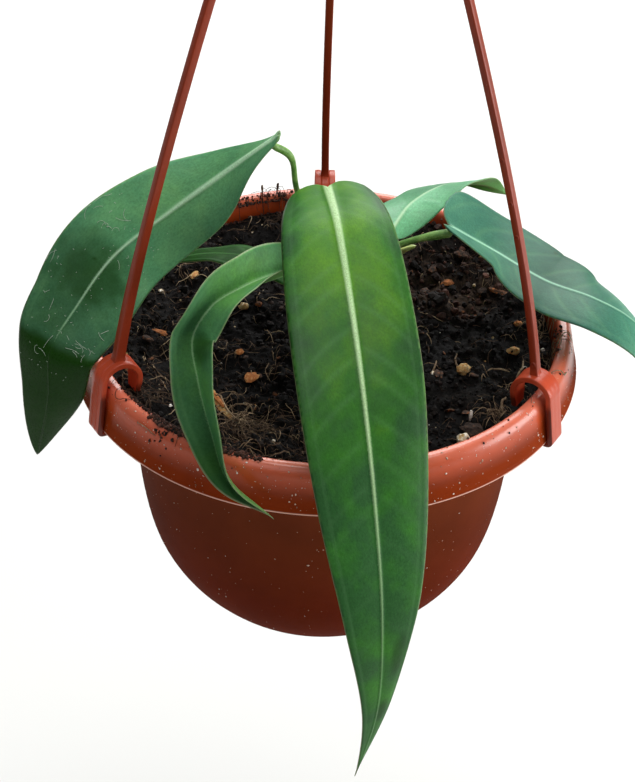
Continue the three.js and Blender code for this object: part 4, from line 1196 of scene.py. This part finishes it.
def stalkParts(leaf):
    # A tapering tube from the crown to the blade, thicker just under the blade
    middle, along, _, up, _ = ribFrame(leaf, np.zeros(1))
    joint = middle[0] + along[0] * 1.4 - up[0] * 0.8
    x, y = leaf["root"]
    points = [(x, y, crown["top"] - 1), (x, y, crown["top"] + 2), *leaf["stalk"], joint]
    share = np.linspace(0, 1, 70)
    path, _, _ = alongCurve(smoothCurve(points), share)
    swell = fade(share, 0.78, 0.9) * (1 - 0.35 * fade(share, 0.95, 1))
    radius = leaf["stalkRadius"] * (1 - 0.15 * share + 0.3 * swell + 0.25 * (1 - fade(share, 0, 0.12)))
    radius = radius * np.sqrt(np.clip(1 - ((share - 0.97) / 0.0305) ** 2 * (share > 0.97), 0.02, 1))
    angle = np.linspace(0, 2 * np.pi, 22, endpoint=False)
    groove = 1 - 0.12 * np.exp(-((angle - np.pi / 2) / 0.5) ** 2)
    section = roundSection(radius, len(angle)) * groove[None, :, None]
    return [wrapped(sweep(path, section, np.array([0.35, 1.0, 0.1])))]


lint = {
    # share and v of each thread on the left leaf
    "at": [(0.421, 0.63), (0.403, 0.92), (0.365, 0.92), (0.382, 0.57), (0.374, 0.33), (0.412, 0.33),
           (0.442, -0.08), (0.503, 0.83), (0.587, 0.67), (0.609, 0.47), (0.596, -0.67), (0.664, -0.75),
           (0.686, 0.22), (0.655, -0.3), (0.655, -0.45), (0.655, -0.6), (0.655, -0.76), (0.648, 0.1)],
    "threads": 2, "lengthMm": (1, 5), "dustMm": (0.2, 0.6), "thick": 0.05, "lift": 0.16, "dust": 80,
    "tone": 0.8, "seed": 25,
}


def makeLint(material):
    # Short pale threads and dust lying on the left leaf: each thread is a bent line on the blade, a
    # little above its skin
    draw = np.random.default_rng(lint["seed"])
    leaf, dust = {**plainLeaf, **leaves["left"]}, lint["dust"]
    spots = np.repeat(np.array(lint["at"]), lint["threads"], 0)
    spots = np.vstack([spots + draw.normal(0, (0.008, 0.07), spots.shape),
                       draw.uniform((0.32, -0.9), (0.75, 0.95), (dust, 2))])
    threads = len(spots) - dust
    length = np.append(draw.uniform(*lint["lengthMm"], threads), draw.uniform(*lint["dustMm"], dust))
    heading, curl = draw.uniform(0, 2 * np.pi, len(spots)), draw.normal(0, 1.4, len(spots))
    steps = 8
    angle = heading[:, None] + curl[:, None] * np.linspace(-0.5, 0.5, steps)
    moved = np.cumsum(np.stack([np.cos(angle), np.sin(angle)], -1) * (length[:, None, None] / steps), 1)
    _, half, total = bladeMiddle(leaf, spots[:, 0], spots[:, 1])
    share = spots[:, :1] + moved[..., 0] / total
    v = np.clip(spots[:, 1:] + moved[..., 1] / half[:, None], -0.97, 0.97)
    near = 0.002
    here = bladeMiddle(leaf, share, v)[0]
    along = bladeMiddle(leaf, share + near, v)[0] - here
    aside = bladeMiddle(leaf, share, v + near)[0] - here
    normal = unit(np.cross(aside, along))
    path = here + normal * (leaf["thick"] / 2 + lint["lift"])
    grids = sweep(path, roundSection(np.full(path.shape[:2], lint["thick"]), 4), normal)
    addLitter("lint_on_leaf", grids, np.full(len(grids), lint["tone"]), material)


leafLook = {
    "cool": "#1F5A3A", "body": "#2C6B38", "warm": "#5C9A33", "vein": "#6FA06A", "veinStrength": 0.1,
    "dark": "#123A0C", "rib": "#B9DCB0", "ribEnd": "#6FA068", "edge": "#A8A484", "edgeMm": 0.26,
    "under": "#5E8A48", "cloudMm": 11, "fleckMm": 0.75, "stippleMm": 0.42, "roughness": 0.45,
    "shine": 0.35,
}
leafLooks = {
    "front": {"warm": "#568E16", "body": "#347022", "cool": "#2A562A", "shine": 0.16, "rib": "#BCDCA4",
              "veinStrength": 0.11},
    # the left leaf's blue-green is partly its own colour and partly a painted sheen
    "left": {"cool": "#3E6C4A", "body": "#4C7A50", "warm": "#5E8C52", "rib": "#C5ECC4", "dark": "#163802",
             "shine": 0.1, "veinStrength": 0.16},
    "curled": {"cool": "#3E6C44", "body": "#4A7A3E", "warm": "#5E9040", "rib": "#B9DCAC", "dark": "#1A400A",
               "shine": 0.2},
    "right": {"cool": "#386A56", "body": "#45785F", "warm": "#578669", "rib": "#98C8AA", "shine": 0.14,
              "veinStrength": 0.14},
    "back": {"cool": "#48805A", "body": "#589068", "warm": "#70A478", "under": "#4F8A1C"},
    "low": {"cool": "#163C10", "body": "#1F4A12", "warm": "#2E6420", "rib": "#2E6420", "shine": 0.03},
}
freshStalk = stalkSkin("fresh_leaf_stalk", "#8DB562", "#4E7A34")

for name, own in leaves.items():
    leaf = {**plainLeaf, **own}
    skin = leafSkin(f"waxy_leaf_{name}", {**leafLook, **leafLooks[name]})
    parts, values = bladeParts(leaf)
    addPiece(f"blade_{name}", parts, skin, [f"leaf_{name}"], values)
    addPiece(f"stalk_{name}", stalkParts(leaf), freshStalk, [f"leaf_{name}"])
makeLint(litterMaterial("pale_lint", ["#96A692", "#BECCBA"], 0.9))
print("leaves made")


# The crown that the stalks stand on, and the papery tip of an old sheath beside the right stalk

def makeCrown(material):
    # A stub turned from leaf-scar rings, with a ragged surface
    wide, top, root = crown["radius"], crown["top"], crown["root"]
    x, y, z = np.moveaxis(turned(roundedOutline([
        (0, root, 0), (2.5, root + 1.5, 1), (4.5, root + 7, 2), (wide - 0.8, -14, 1),
        (wide - 0.2, -9, 0.6), (wide - 0.9, -8, 0.4), (wide - 0.3, -5.5, 0.8), (wide - 0.8, top, 0.7),
        (0, top, 0)]), crown["around"]), -1, 0)
    angle = np.arctan2(y, x)
    ragged = 1 + 0.03 * np.sin(9 * angle + z) - 0.03 * np.abs(np.sin(17 * angle))
    grid = np.stack([x * ragged, y * ragged, z], -1) + (crown["x"], crown["y"], 0)
    addPiece("plant_crown", [wrapped(grid)], material, ["crown"],
             {"tone": np.full(x.size, 0.45)})


barkSkin = litterMaterial("corky_crown", ["#2A1D12", "#5C452C", "#8C7448"], 1.2)
makeCrown(barkSkin)

sheath = {"base": 1.2, "swell": 0.4, "hollow": 0.45,
          "path": [(10.4, 10.6, crown["top"] + 0.3), (10.6, 10.6, crown["top"] + 2), (14, 10, 7),
                   (18, 8.5, 14), (21.4, 6.5, 19.6), (25.4, 6, 21.6)]}


def makeSheath(material):
    # A thin leaf-like point, hollowed along one side, closing to a tip as a root of 1 - t^5
    share = np.linspace(0, 1, 50)
    path, _, _ = alongCurve(smoothCurve(sheath["path"]), share)
    radius = (sheath["base"] + sheath["swell"] * share) * np.sqrt(1 - 0.999 * share**5)
    angle = np.linspace(0, 2 * np.pi, 20, endpoint=False)
    hollow = 1 - sheath["hollow"] * np.exp(-((angle - np.pi / 2) / 0.6) ** 2)
    section = roundSection(radius, len(angle)) * hollow[None, :, None]
    grid = sweep(path, section, np.array([0.3, 1.0, 0.2]))
    addPiece("sheath_tip", [wrapped(grid)], material, ["sheath"])


makeSheath(stalkSkin("papery_sheath_tip", "#C9CF86", "#8FA650"))
print("crown and sheath made")


# Floor and light

stage = {
    "drop": 250, "floorHalf": 3000, "floor": "#DEDEDB", "world": "#F2F5F8", "worldStrength": 0.14,
    # name, place and aim in millimetres, diameter in metres, watts, colour
    "lamps": [
        ("overcast_sky", (250, -50, 2300), (0, 0, 0), 1.8, 40, "#FFFFFF"),
        ("bright_window", (500, 1900, 1330), (0, 0, 0), 1.9, 62, "#FFFFFF"),
        ("side_window", (1900, -150, 80), (0, 0, -40), 1.2, 31, "#FFFFFF"),
        ("front_fill", (-700, -1500, 1300), (0, 0, 0), 1.2, 4, "#F4F8FF"),
    ],
}


def makeFloor():
    # A plain pale square well under the pot
    half = stage["floorHalf"] * mm
    low = float(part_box("pot")[0][2]) - stage["drop"] * mm
    mesh = bpy.data.meshes.new("floor")
    mesh.from_pydata([(-half, -half, low), (half, -half, low), (half, half, low), (-half, half, low)],
                     [], [(0, 1, 2, 3)])
    material, tree = newMaterial("matt_paper_floor")
    finishMaterial(tree, addNode(tree, "ShaderNodeBsdfPrincipled", {
        "Base Color": toLinear(stage["floor"]), "Roughness": 0.9}))
    mesh.materials.append(material)
    floor = bpy.data.objects.new("floor", mesh)
    bpy.context.scene.collection.objects.link(floor)


def addLamp(name, place, aim, size, watts, colour):
    # A round area lamp that faces its aim
    data = bpy.data.lights.new(name, "AREA")
    data.shape, data.size, data.energy, data.color = "DISK", size, watts, toLinear(colour)[:3]
    lamp = bpy.data.objects.new(name, data)
    away = Vector(place) - Vector(aim)
    lamp.matrix_world = (Matrix.Translation(Vector(place) * mm + Vector((0, 0, rimTop)))
                         @ away.to_track_quat("Z", "Y").to_matrix().to_4x4())
    bpy.context.scene.collection.objects.link(lamp)


def lightWorld():
    # An even pale glow from all round
    world = bpy.data.worlds.new("pale_room")
    world.use_nodes = True
    glow = world.node_tree.nodes["Background"].inputs
    glow["Color"].default_value = toLinear(stage["world"])
    glow["Strength"].default_value = stage["worldStrength"]
    bpy.context.scene.world = world
    bpy.context.scene.view_settings.view_transform = "Standard"


makeFloor()
for lamp in stage["lamps"]:
    addLamp(*lamp)
lightWorld()
print("stage set")
